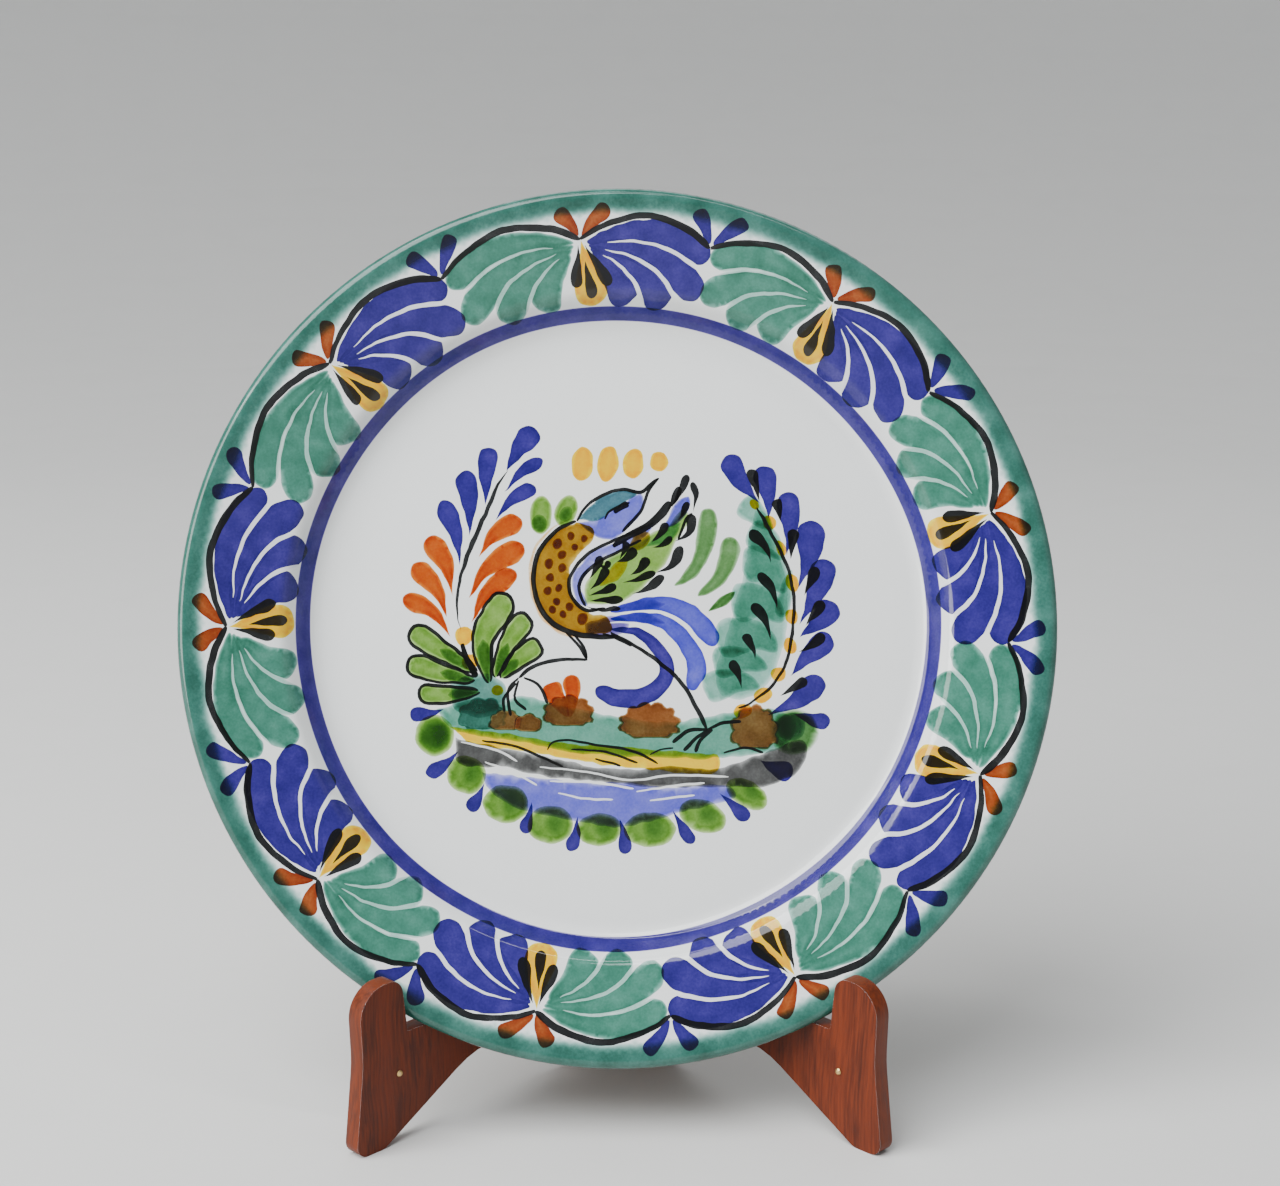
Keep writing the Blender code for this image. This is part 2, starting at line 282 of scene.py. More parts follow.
def fan(junction, way, scale, pigment, left, **how):
    """Petals that start thin at the junction and end blunt; way is 1 for clockwise. Between them runs a
    thin line where only the fraction `left` of the colour stays."""
    petals = [
        ([(1.0, 0.881), (7.5, 0.9015), (13.5, 0.9), (19.9, 0.866)], 10.9),
        ([(1.1, 0.875), (8, 0.860), (14, 0.832), (19.9, 0.778)], 11.8),
        ([(1.4, 0.868), (6.9, 0.832), (11, 0.792), (14.0, 0.744)], 12.2),
        ([(1.8, 0.860), (5.2, 0.806), (7.2, 0.743)], 11.8),
    ]
    for path, width in petals:
        points = [polar(junction + way * a * scale, r) for a, r in path]
        brush(points, width, pigment, "petal", layer=way * (junction + 10), **how)
    gaps = [
        [(4.0, 0.8775), (8.5, 0.881), (14, 0.867), (20.9, 0.826)],
        [(3.6, 0.8625), (7.9, 0.846), (12.6, 0.812), (16.6, 0.750)],
        [(3.3, 0.851), (5.9, 0.827), (8.6, 0.786), (10.4, 0.735)],
    ]
    for path in gaps:
        points = [polar(junction + way * a * scale, r) for a, r in path]
        brush(points, 1.7, "resist", "petal", load=left, soft=0.1, hand=0.35)


for number, here in enumerate(JUNCTIONS):
    after = JUNCTIONS[(number + 1) % 9] + (360 if number == 8 else 0)
    scale = (after - here) / 40
    fan(here, 1, scale, "blue", 0.03, soft=0.2, pool=0.12)
    fan(after, -1, scale, "petal", 0.3, soft=1.0, pool=0.2, load=0.95)
    brush([polar(here, 0.885), polar(here + 0.7, 0.82), polar(here + 1.1, 0.742)], 12.6, "yellow", "drop",
          soft=0.9, pool=0.5, load=0.9)
    lobes = [(-1.6, 0.782, 4.6, -1.0), (1.2, 0.757, 4.3, 0.9), (4.1, 0.782, 4.6, 1.9)]
    for degrees, end, width, lean in lobes:
        start = 0.876 if degrees != 1.2 else 0.842
        brush([polar(here + 0.3 * lean, start), polar(here + (degrees + 0.3 * lean) / 2, (start + end) / 2),
               polar(here + degrees, end)], width, "black", "drop", soft=0.15, pool=0.0)
    middle = here + 19.7 * scale
    for a, b in ((here, middle), (middle, after)):
        arc = [(0, 0.889), (0.2, 0.918), (0.5, 0.9395), (0.8, 0.920), (1, 0.889)]
        brush([polar(a + (b - a) * t, r) for t, r in arc], 2.7, "black", "line", soft=0.15, pool=0.0, hand=0.3)
    for way, reach, width in ((-1, 2.9, 6.2), (1, 4.2, 5.8)):
        brush([polar(here + way * 0.25, 0.897), polar(here + way * reach * 0.45, 0.925),
               polar(here + way * reach, 0.9585)], width, "rust", "petal", soft=0.35, pool=0.3, load=0.9)
        brush([polar(middle + way * 0.3, 0.898), polar(middle + way * reach * 0.5, 0.935),
               polar(middle + way * reach * 0.95, 0.967)], width, "blue", "petal", soft=0.2, pool=0.1)
print(len(strokes), "strokes on the rim")

# %% [markdown]
# ## The picture in the middle
#
# The picture is painted in the order a painter would work: pale washes for the ground first, then
# the leaves, the bird and its tail, and the black lines last. Coordinates are millimetres from the
# plate's middle. Leaves start at the stem, so their thin end is their first point.

# %% The ground
wash(line("""
    -69 -31, -55 -27, -45 -29, -37 -26, -20 -30, 0 -34, 20 -36, 40 -33, 58 -31, 68 -37, 60 -47, 30 -50,
    0 -49, -20 -47, -40 -43, -62 -39
"""), "teal", 0.85, 1.6, 0.15)
wash(line("""
    -64 -37.5, -45 -40, -20 -44, 5 -46, 30 -48, 38 -49, 36 -56, 10 -54, -8 -52, -30 -48, -55 -44
"""), "yellow", 0.75, 0.8, 0.25)
wash(line("""
    -62 -42, -40 -46.5, -20 -51, 0 -54, 20 -53, 35 -54, 50 -50, 70 -43, 70 -53, 58 -60, 35 -61, 15 -61,
    -5 -59, -25 -57, -45 -53, -60 -52
"""), "grey", 1.0, 1.4, 0.15)
wash(line("""
    -52 -55, -30 -57.5, -10 -59, 5 -59, 20 -61, 40 -60, 45 -65, 30 -69, 15 -73, 0 -76, -20 -73, -38 -69,
    -48 -63
"""), "lavender", 1.0, 1.6, 0.2)
for x, y, width, height, tilt in [
    (-70, -41, 13, 14, 0), (-58, -56, 13, 13, 30), (-43, -67, 15, 13, 0), (-26, -75, 15, 13, 0),
    (-7.5, -77, 15, 11, 0), (12, -77, 17, 12, 0), (32, -72, 16, 11, 20), (49, -63.5, 15, 9, 30),
]:
    dab(x, y, width * 1.16, height * 1.12, "light_green", tilt, soft=2.0, pool=0.3, load=1.15)
    dab(x + 2, y + 0.5, width * 0.62, height * 0.85, "green", tilt, soft=3.4, pool=0.0, load=0.38)
dab(-70, -41, 13, 12, "green", 0, soft=2.5, pool=0.0, load=0.7)
dab(67, -40, 19, 18, "green", 0, soft=2.5, load=1.0)
dab(66, -38, 11, 11, "band", 0, soft=2.0, load=0.8)
for thin, blunt, width in [
    ((-66, -31), (-79.5, -33), 5.6), ((-61, -47), (-73, -56), 5.8), ((-51, -59), (-57.5, -69.5), 5.4),
    ((-33, -66.5), (-36.5, -78), 5.0), ((-15.5, -72), (-18.5, -85), 5.2), ((0.5, -73), (2.6, -86), 5.0),
    ((20.5, -70), (28, -82.5), 5.0), ((38.5, -63), (49.5, -73.5), 5.4), ((54, -51), (66.5, -56), 7.6),
    ((67, -33), (80.5, -36.5), 6.6),
]:
    between = (np.array(thin) + blunt) / 2 + (0.6, -0.6)
    brush([thin, between, blunt], width, "blue", "drop", pool=0.1)


def tuft(x, y, width, height, pigment, lobes, load=1.0):
    """A clump of grass: one area with a lobed edge and a flatter foot."""
    ring = []
    for k in range(14 * lobes):
        turn = 2 * math.pi * k / (14 * lobes)
        reach = 0.42 + 0.1 * abs(math.sin(lobes * turn + 0.4)) ** 0.7 * (math.sin(turn) > -0.5)
        ring.append((x + width * reach * math.cos(turn), y + height * reach * max(math.sin(turn), -0.72)))
    wash([(x + 0.9 * (a - x), y + 0.9 * (b - y)) for a, b in ring], "resist", 0.3, 0.1, hand=0.0)
    wash(ring, pigment, load, 0.9, 0.15, 0.5)


brush([(-19, -34), (-23, -28), (-26, -21)], 7.5, "orange", soft=0.5)
brush([(-18.5, -34), (-17.5, -27), (-18, -18)], 6.5, "orange", soft=0.5)
tuft(-19, -33, 20, 15, "brown", 5, 0.8)
tuft(12, -37, 24, 17, "brown", 6, 0.8)
tuft(52, -40, 19, 21, "brown", 5, 0.7)
tuft(-52, -34, 19, 15, "band", 4, 0.9)
tuft(-43, -36, 13, 10, "brown", 4, 0.7)
tuft(-34.5, -37, 11, 9, "brown", 3, 0.8)
print(len(strokes), "strokes with the ground")

# %% Leaves on both sides
for path, width in table("""
    -42.5 59.5, -38 68, -31.2 76: 8.8; -43.5 52, -36 60, -28.5 64: 5.4; -46.5 41, -41 48.5, -31.5 54: 5.8;
    -50.5 47, -50.2 58, -49 69: 7.8; -56.8 35, -56.6 47, -58.5 60: 8.4; -60.5 24, -61.8 36, -67.2 48.5: 7.8
"""):
    brush(path, width, "blue", "drop", pool=0.12)
for path, width in table("""
    -53 27, -47 35.5, -37 41.5: 8.4; -57 11, -50 22.5, -36 31.5: 9; -56 2, -50 13.5, -39 21.5: 7.8;
    -63.2 12, -65.5 24, -72.5 34.5: 8.6; -65.2 4, -69 14.5, -78 24.5: 8.4; -64 -3.5, -70.5 6, -82 11.8: 7.4
"""):
    brush(path, width, "orange", "drop", soft=0.5, pool=0.35, load=0.92)
brush(line("-60.3 -1, -61.4 10, -59 23, -54 35.5, -48.5 48, -46 54, -42 60.5"), 1.9, "black", "leaf",
      soft=0.2, pool=0.0, load=0.9)
leaves = [
    ([(-54, -17), (-68, -8), (-79, -0.5)], 8.6), ([(-55, -20), (-68, -17), (-80, -13)], 8.6),
    ([(-53, -24.5), (-65, -25.5), (-76, -25)], 7.2), ([(-49.5, -21), (-51.5, -4), (-42, 12.5)], 10.4),
    ([(-47, -19), (-42, -6), (-34.5, 4.5)], 8.2), ([(-45, -19), (-38, -12), (-30, -6)], 8.2),
]
for path, width in leaves:
    edge = brush(path, width, "light_green", "petal", soft=1.5, pool=0.3, load=0.95)
    brush([path[0], path[1]], width * 0.55, "green", "leaf", soft=1.2, load=0.6)
    brush(edge[::2], 1.5, "black", "line", soft=0.2, pool=0.0, hand=0.4)
wash(line("""
    -64 -21, -56 -18, -48 -18, -43 -23, -44 -31, -52 -34, -62 -31
"""), "band", 0.75, 2.2, 0.0)
brush([(-59.5, -6), (-57.5, -12), (-54, -19)], 2.6, "black", "line", soft=0.3)
for x, y, r in [(-58.8, -3, 3.6), (-56.6, -13, 3.0), (-46, -24, 2.2)]:
    dab(x, y, 2 * r, 2 * r, "yellow", soft=0.5, pool=0.4)
for x, y, width, height in [(-13.6, 62.5, 8.4, 13), (-3.8, 62.5, 8.2, 13.8),
                            (6, 62.6, 7.8, 11.4), (15.8, 63.3, 7.2, 7.6)]:
    dab(x, y, width, height, "yellow", 8, soft=0.6, pool=0.4)
dab(-29.4, 43, 8.6, 14.8, "light_green", 4, soft=1.2, pool=0.3)
dab(-30, 39.6, 6, 7, "green", 4, soft=1.6, load=0.7)
dab(-19.8, 44.6, 8.2, 12.6, "light_green", 24, soft=1.2, pool=0.3)
dab(-19.8, 43.4, 5, 6, "green", 24, soft=1.6, load=0.6)
brush([(21.5, 15.8), (29, 22), (33.5, 33), (34.8, 45.5)], 7.6, "green", "petal", soft=0.8, load=0.8)
brush([(30.5, 12), (38, 18), (42, 26), (43, 34.5)], 7.8, "green", "petal", soft=0.8, load=0.75)
brush([(34.5, 5.8), (39, 9), (44.5, 13.6)], 3.6, "green", "leaf", soft=0.5)
wash(line("""
    58 42, 53 45, 51 37, 49 26, 46 12, 41 -4, 37 -18, 40 -26, 50 -27, 58 -20, 63 -8, 65 4, 64 18, 60 32
"""), "teal", 0.55, 2.0, 0.0)
for path, width in table("""
    59 37, 53 43, 47 48: 9; 63 26, 56 33.5, 49.5 36.5: 11; 64 13, 57 23.5, 47.5 23.5: 13; 63 2, 55 9.5,
    43 9: 13.5; 61 -9, 52 -3, 37.5 -5: 14; 57 -16, 48 -12.5, 36 -14: 11; 54 -23, 45 -20.5, 32.5 -24: 11;
    66 22, 63.8 12, 62 4: 5.5
"""):
    brush(path, width * 1.1, "teal", "petal", soft=1.3, pool=0.25, load=0.6)
for path, width in table("""
    54.5 47, 47.5 55, 41.5 65.5: 7.4; 57.5 41, 57.5 51, 55 61.5: 7.8; 64.5 27, 66 39, 64.3 51.5: 8; 68.6 15,
    73 27, 74 40.5: 9.6; 69.2 1, 75.5 13, 79.8 26: 9; 69 -4, 76 1.5, 83 9: 8.6; 65.5 -19, 72.5 -11,
    81.5 -3.5: 8.2; 57 -33.5, 68 -28, 78 -19.5: 8.2
"""):
    brush(path, width * 1.14, "blue", "drop", soft=0.3, pool=0.12, load=0.95)
for path, width in table("""
    54.2 48, 52.8 54, 50.6 60.5: 4.2; 62 40.5, 61.5 45, 60 49: 4; 66 26, 66.6 31, 67.5 37.5: 4.4; 71 12,
    73.5 17, 76 23: 4.8; 71.5 0.5, 75 5, 78.5 10: 4.4; 69 -9.5, 73 -7.5, 79 -3: 4.2; 62 -26, 66.5 -23.5,
    72 -20: 4; 58.2 24.5, 56 31, 50.3 36.8: 4.2; 60.7 6.5, 59 14.5, 53.5 20.3: 4.2; 58.3 -5, 56 3.5,
    51 9: 4.2; 52.5 -12.5, 51 -7, 48 -2.6: 3.6; 47.2 -23, 46 -18, 43 -12.6: 4
"""):
    brush(path, width, "black", "drop", soft=0.15, pool=0.0)
brush(line("46 -31, 56 -25, 63 -16, 66 -5, 67.2 6, 66.5 16, 64 25, 59 35, 53 46"), 1.5, "black",
      "line", soft=0.2, pool=0.0)
for x, y, width, height in [
        (47.5, -32, 7.4, 5.6), (55.2, -26, 7.2, 5.8), (61.2, -18, 6, 6), (65.7, -7, 5, 6.6), (66.2, 4, 5, 6),
        (66.6, 17, 4.8, 7), (62.2, 30, 4, 6.6), (58, 40, 5, 6), (52.2, 47, 3.4, 4.4)]:
    dab(x, y, width, height, "yellow", -20, soft=0.5, pool=0.4, load=1.05)
print(len(strokes), "strokes with the leaves")

# %% The bird
wash(line("""
    -15 41, -11 46.5, -4 51, 4 52.6, 8 51.6, 3 48, -3 44, -8 40.5
"""), "slate", 1.05, 0.5, 0.2)
wash(line("""
    -15 40.5, -9 35, -3 33.5, 3 37, 7 41, 9.3 46, 8.6 51, 2 47.3, -4 43.2, -9 40.8
"""), "lavender", 0.95, 0.7, 0.2)
wash(line("""
    -16 40.4, -24 36.4, -30.2 28, -31.8 18, -30 9, -25 2.2, -17 -1.8, -9 -2.6, -3 -1.6, -4 4, -11 5.6,
    -16.5 10.5, -18.8 18.5, -16 26.5, -9.5 33.5, -9.5 38
"""), "olive", 1.0, 0.5, 0.2)
brush(line("-17 41.8, -25 38, -32 29, -33.3 18, -31 8, -26 0.8, -17 -3.4, -6 -4.4"), 1.6, "orange",
      "leaf", load=0.3, soft=0.7, pool=0.0)
for x, y, r in [
        (-18, 35, 1.5), (-12.7, 34, 1.3), (-16.5, 30.6, 1.3), (-23, 32, 1.9), (-21.3, 28, 1.7),
        (-26.2, 24.5, 1.8), (-21.4, 22.8, 1.7), (-26, 19, 1.6), (-22.6, 15, 1.4), (-27, 14, 1.6),
        (-23.4, 10, 1.4), (-18.6, 8, 1.6), (-25, 6.8, 1.4), (-21, 5, 1.4), (-13.6, 3.4, 2.2)]:
    dab(x, y, 2 * r, 2.2 * r, "brown", 20, soft=0.5, pool=0.1, load=0.75)
wash(line("""
    14 39.5, 5 35, -5 31, -12 27, -17.4 19, -16.6 12, -12 7.6, -11.6 10, -14 14.5, -12.6 20, -8 25, 0 29.5,
    10 34
"""), "lavender", 0.7, 0.5, 0.25)
wash(line("""
    -12 9, -12.6 15, -10 21.5, -4 26.5, 4 31, 12 35.5, 20 40, 25 46, 27 40, 22 33, 20 27, 14 20, 8 14, 0 9.4
"""), "light_green", 0.85, 1.4, 0.15)
brush([(-7, 16), (-2, 20), (3.5, 26)], 5.4, "yellow", "leaf", soft=0.9, load=0.9)
brush([(4, 29), (8, 32.5), (12, 36)], 6, "olive", "leaf", soft=0.9, load=0.7)
brush([(17, 38), (22, 42), (27, 50)], 6, "lavender", "leaf", soft=0.7, load=1.1)
brush([(11, 31), (17, 34), (24, 40)], 5, "teal", "leaf", soft=0.9, load=0.6)
tail = table("""
    -3 6.2, 8 8.6, 18 9, 28 4.6, 37.6 -6.5: 6.8; -3 3.2, 8 3.8, 18 1.6, 26 -6, 30 -15, 27.5 -24: 6.4;
    -3 -0.4, 7 -1.8, 14.5 -7.4, 18.6 -15, 16 -22, 9 -26.4, 0 -27, -8.4 -23.4: 6.6
""")
for number, (path, width) in enumerate(tail):
    pigment, load = ("blue", 0.85) if number == 2 else ("lavender", 1.1875)
    brush(path, width * 1.12, pigment, "petal", load=load, soft=0.3, pool=0.35)
    if number < 2:
        brush(path[:3], width * 0.6, "blue", "leaf", load=0.35, soft=1.2)
wash(line("""
    -13 1, -4 4, 4 3, 3 -1, -4 -3.4, -11 -3
"""), "blue", 0.6, 1.6, 0.0)
for path, width in table("""
    13 32.5, 16 35.5, 19 40: 3.6; 13 30.6, 17 31.6, 20.8 34.4: 2.6; 21.8 32.6, 27 36, 28.4 43: 3.8;
    22.6 40.4, 25 43.6, 26.8 48: 3; 14.5 20.6, 21 24, 24 31: 4.2; 4.4 20, 8.6 22.2, 11.2 26.6: 3.8; 1.6 17,
    8 18.6, 14.5 21: 3; 5.4 12.8, 11.6 15, 17.4 19.8: 3.6; -0.4 24.8, 3.6 26.4, 6.6 30.4: 4.2; 0.6 26,
    2.4 29.4, 3.4 33: 3; -11 18.6, -8.4 22.4, -6.6 27.4: 3.6; -10.6 14.4, -7.2 17.6, -3.8 22.6: 3.6;
    -11.2 12.2, -6 13.6, -0.8 16.4: 3.2; -10.8 10.2, -5 10.4, 1.8 10.8: 3.2; -12.5 8.2, -6 6.8, 1 7.4: 2;
    -8 25, -5 23, -3.4 25.6: 2.4; 18.5 44, 21.4 48.6, 23.6 53.6: 3.2; 20.6 46, 24 52, 26.8 58.4: 3.4;
    28.8 44, 30 50, 28.4 55.4: 2.6
"""):
    brush(path, width, "black", "drop", soft=0.15, pool=0.0)
for path, width in table("""
    -16 40.6, -24 36.6, -30.6 28, -32.2 18, -30.4 9, -25.4 2, -17 -2.2, -8 -3.4, 0 -3.4: 1.8; -15.6 40.6,
    -12.4 46, -5.6 50.6, 2 52.8, 8.4 51.6, 12.4 54.4, 15.6 57: 1.2; 15.8 57, 12 52.6, 10.2 48, 8.6 44, 5 40,
    1.5 36.4: 1.1; -5 41.2, -3.4 44.2, 0 46, 4.6 47.8: 0.9; -1.6 43.8, 1 45.8, 4 47.4: 2; 14 40, 5 36,
    -5 31.6, -12.4 27.4, -18.4 19, -17.4 11.4, -12 6.6, -5 7.6: 1.2; 9 33.4, 0 29, -8 24.6, -13.4 19.6,
    -14.8 14, -12.4 8: 1.2; -2 31, 4 35, 11 38.6, 16 42.6, 20 48: 2.6; 23 33.6, 26 41, 28.6 43.6: 1;
    -20 -1.8, -15 -6.8, -12 -12: 1; -17 -2.4, -13 -7.6, -12 -12: 1; -11.6 -12.2, -22 -12.2, -32 -14.6,
    -38 -19: 1.3; -38 -19, -42 -24, -41 -33.5: 1; -38 -20, -39.4 -27, -35 -31.4: 1; -36 -19, -30 -22,
    -27 -29: 1; -39 -21, -43.6 -27, -43.4 -32: 1; -6 -2.4, 0 -4.2, 5.4 -7: 1.2; -3 -2, 3 -5, 14 -12, 24 -21,
    30 -31, 34 -39.4: 1.4; 34 -39, 27 -39.4, 20.6 -44: 1.3; 35 -39, 30 -42, 25 -47: 1.2; 36 -39, 31.4 -43,
    29.4 -47.6: 1.2; 34 -39, 40 -36.4, 47 -36: 1.2; -27 -46.6, -25 -43.6, -18 -43, -8 -44.8, 1 -46, 8 -48,
    15 -52: 0.9; -52 -43, -40 -45, -30 -49, -21 -53: 0.9; -18 -46.4, -5 -47.4, 7.4 -51.6: 0.8; -9 -50,
    -3 -51.6, 1 -52.8: 0.8; 12 -48.6, 16 -46.6, 21 -46: 0.6; 40 -48, 48 -46, 55.4 -47.8: 0.9
"""):
    brush(path, width * 1.25, "black", "line", soft=0.15, pool=0.0, hand=0.25)
for path, width in table("""
    -60 -43.4, -46 -46.8, -38.6 -51: 0.9; -51 -51, -40 -55, -31 -60: 0.9; -30 -53, -12 -55, 5 -58.2,
    20 -56.4, 42 -57: 0.9; -26 -58.6, -10 -59, 6 -61.4: 0.9; -23 -63, -14 -65, -2 -65.6: 0.9; 7 -62.6,
    20 -60.6, 33 -59.4: 0.9; 12 -66, 20 -65, 29 -64: 0.9; -2 5.2, 8 6.2, 18 5.6, 27 0, 32.6 -8: 0.9; -3 2,
    6 1.4, 15 -2.6, 21.6 -10, 23 -19: 0.9
"""):
    brush(path, width, "resist", "line", load=0.08, soft=0.1, hand=0.3)
print(len(strokes), "strokes in all")

# %% [markdown]
# ## From strokes to one painted face
#
# All outlines are cut into one flat triangulation of the disc, so every triangle knows which
# strokes cover it. Each corner then gets the sum of their absorptions. Extra points inside the
# strokes, and on rings all over the plate, carry the soft fades and the plate's curves.

# %% Cut the disc along every outline
LAND = 240
RING = 119.9


def sway(angle):
    """How far the blue ring round the well wanders from a true circle."""
    return 0.3 * np.sin(3 * angle + 1) + 0.15 * np.sin(7 * angle)


flat = []
outlines = []
for stroke in strokes:
    x, y = stroke["outline"].T
    if (x * np.roll(y, -1) - y * np.roll(x, -1)).sum() < 0:  # every outline has to run anticlockwise
        stroke["outline"] = stroke["outline"][::-1]
    outlines.append(list(range(len(flat), len(flat) + len(x))))
    flat += [tuple(p) for p in stroke["outline"]]
for stroke in strokes:
    flat += [tuple(p) for p in stroke["inner"]]
radii = list(np.arange(3.0, 112, 3.0)) + [112.8, 114, 115.2, 116.3, 118.5, 119.9, 121.3]
radii += [123.6, 124.8, 126, 127.2, 128.4, 129.6, 130.8, 132] + list(np.arange(134, 152, 3.0))
radii += list(np.arange(152.5, 161.9, 1.2))
radii += [161.9 + 3.1 * math.sin(math.radians(a)) for a in range(0, 80, 12)]
for k, radius in enumerate(radii):
    steps = LAND if radius > 112 else max(8, int(2 * math.pi * radius / 3.0))
    for a in (np.arange(steps) + 0.5 * (k % 2)) * 2 * math.pi / steps:
        away = radius + 0.04 * math.sin(a * 37 + k)
        flat.append((away * math.cos(a), away * math.sin(a)))
circles = []
for radius in (RING - 2.55, RING - 2.25, RING + 2.25, RING + 2.55):
    circles.append(len(flat))
    for a in (np.arange(LAND) + 0.25) * 2 * math.pi / LAND:
        flat.append(((radius + sway(a)) * math.cos(a), (radius + sway(a)) * math.sin(a)))
circles.append(len(flat))
flat += [(RIM * math.cos(a), RIM * math.sin(a)) for a in np.arange(LAND) * 2 * math.pi / LAND]
flat = [Vector(p) for p in flat]
edges = [(start + k, start + (k + 1) % LAND) for start in circles for k in range(LAND)]
cut = delaunay_2d_cdt(flat, edges, outlines, 0, 1e-3, True)
points = np.array([tuple(p) for p in cut[0]])
triangles = np.array(cut[2])
covering = [[] for _ in strokes]
for index, owners in enumerate(cut[5]):
    for owner in owners:
        covering[owner].append(index)
print(len(points), "points and", len(triangles), "triangles")

# %% Add up the pigment at every corner


def edge_distance(where, outline):
    """How far each point is from the nearest part of an outline."""
    run = np.roll(outline, -1, axis=0) - outline
    dense = np.concatenate([outline + run * k / 4 for k in range(4)])
    tree = kdtree.KDTree(len(dense))
    for k, (x, y) in enumerate(dense):
        tree.insert((x, y, 0), k)
    tree.balance()
    return np.array([tree.find((x, y, 0))[2] for x, y in where])


def unevenness(where, size, seed):
    return np.array([noise.noise((x / size, y / size, seed)) for x, y in where])


def step(low, high, x):
    t = np.clip((x - low) / (high - low), 0, 1)
    return t * t * (3 - 2 * t)


absorbed = np.zeros((len(triangles), 3, 3))
layer = None
corner_radius = np.linalg.norm(points, axis=1)
lip = step(0.938 * RIM, 0.962 * RIM, corner_radius + 1.2 * unevenness(points, 14, 3.0))
lip *= 1 + 0.22 * unevenness(points, 9, 8.0)
absorbed += lip[triangles][..., None] * PIGMENTS["band"]
for number, (stroke, inside) in enumerate(zip(strokes, covering)):
    if not inside:
        continue
    used, corner = np.unique(triangles[inside], return_inverse=True)
    where = points[used]
    depth = edge_distance(where, stroke["outline"])
    least = 1.0 if stroke["soft"] < 0.4 else 0.35 if stroke["soft"] < 2.3 else 0.05
    amount = least + (1 - least) * step(0, stroke["soft"], depth)
    amount += stroke["pool"] * np.exp(-((depth - stroke["soft"]) ** 2) / 0.5)
    amount *= 1 + 0.16 * unevenness(where, 5.0, number * 3.1)
    amount = (stroke["load"] * amount)[corner].reshape(-1, 3, 1)
    if stroke["layer"] != layer:
        layer, laid = stroke["layer"], np.zeros((len(triangles), 3, 1))
    if layer is not None:
        amount = np.maximum(amount - laid[inside], 0)
        laid[inside] += amount
    if stroke["pigment"] == "resist":
        absorbed[inside] *= stroke["load"]
    else:
        absorbed[inside] += amount * PIGMENTS[stroke["pigment"]]
off_ring = np.abs(corner_radius - sway(np.arctan2(points[:, 1], points[:, 0])) - RING)
ring = (1 - step(2.25, 2.55, off_ring)) * (1 + 0.2 * unevenness(points, 6, 12.0))
absorbed += ring[triangles][..., None] * PIGMENTS["blue"]
print("painted", sum(bool(c) for c in covering), "strokes and the blue ring")

# %% [markdown]
# ## The body
#
# The back of the plate is the rest of the section turned about the axis. A Geometry Nodes tree does
# that: it takes a flat grid, reads how far along the section each row is, and wraps the columns
# round the axis. The painted face has the same 240 points on its rim, so the two halves weld.

# %% A tree that turns a section about Z


def new_tree(name, inputs):
    """An empty Geometry Nodes tree with a geometry input and output and these named inputs."""
    tree = bpy.data.node_groups.new(name, "GeometryNodeTree")
    tree.interface.new_socket("Geometry", in_out="INPUT", socket_type="NodeSocketGeometry")
    for label, kind in inputs:
        tree.interface.new_socket(label, in_out="INPUT", socket_type="NodeSocket" + kind)
    tree.interface.new_socket("Geometry", in_out="OUTPUT", socket_type="NodeSocketGeometry")
    return tree, tree.nodes.new("NodeGroupInput"), tree.nodes.new("NodeGroupOutput")


def add(tree, kind, links=(), **settings):
    """A node with its properties set and its inputs linked or given values, by name or number."""
    node = tree.nodes.new(kind)
    for key, value in settings.items():
        setattr(node, key, value)
    for socket, source in dict(links).items():
        if isinstance(source, bpy.types.NodeSocket):
            tree.links.new(source, node.inputs[socket])
        else:
            node.inputs[socket].default_value = source
    return node


def maths(tree, operation, a, b=0.0):
    return add(tree, "ShaderNodeMath", {0: a, 1: b}, operation=operation).outputs[0]


def close_tree(tree, geometry, given, out):
    """Every tree ends like this: real geometry, with its material set."""
    real = add(tree, "GeometryNodeRealizeInstances", {0: geometry})
    done = add(tree, "GeometryNodeSetMaterial",
               {"Geometry": real.outputs[0], "Material": given.outputs["Material"]})
    tree.links.new(done.outputs[0], out.inputs["Geometry"])
    return tree


def lathe_tree():
    tree, given, out = new_tree("turn a section", [("Steps", "Int"), ("Rows", "Int"), ("Material", "Material")])
    curve = add(tree, "GeometryNodeMeshToCurve", {0: given.outputs["Geometry"]})
    columns = maths(tree, "ADD", given.outputs["Steps"], 1.0)
    grid = add(tree, "GeometryNodeMeshGrid", {
        "Size X": 1.0, "Size Y": 1.0, "Vertices X": columns, "Vertices Y": given.outputs["Rows"]})
    place = add(tree, "ShaderNodeSeparateXYZ", {0: add(tree, "GeometryNodeInputPosition").outputs[0]})
    along = maths(tree, "SUBTRACT", 0.5, place.outputs["Y"])
    angle = maths(tree, "MULTIPLY", maths(tree, "ADD", place.outputs["X"], 0.5), 2 * math.pi)
    point = add(tree, "GeometryNodeSampleCurve", {"Curves": curve.outputs[0], "Factor": along}, mode="FACTOR")
    part = add(tree, "ShaderNodeSeparateXYZ", {0: point.outputs["Position"]})
    wrapped = add(tree, "ShaderNodeCombineXYZ", {
        "X": maths(tree, "MULTIPLY", part.outputs["X"], maths(tree, "COSINE", angle)),
        "Y": maths(tree, "MULTIPLY", part.outputs["X"], maths(tree, "SINE", angle)),
        "Z": part.outputs["Z"]})
    moved = add(tree, "GeometryNodeSetPosition", {"Geometry": grid.outputs[0], "Position": wrapped.outputs[0]})
    welded = add(tree, "GeometryNodeMergeByDistance", {"Geometry": moved.outputs[0], "Distance": 1e-5})
    return close_tree(tree, welded.outputs[0], given, out)


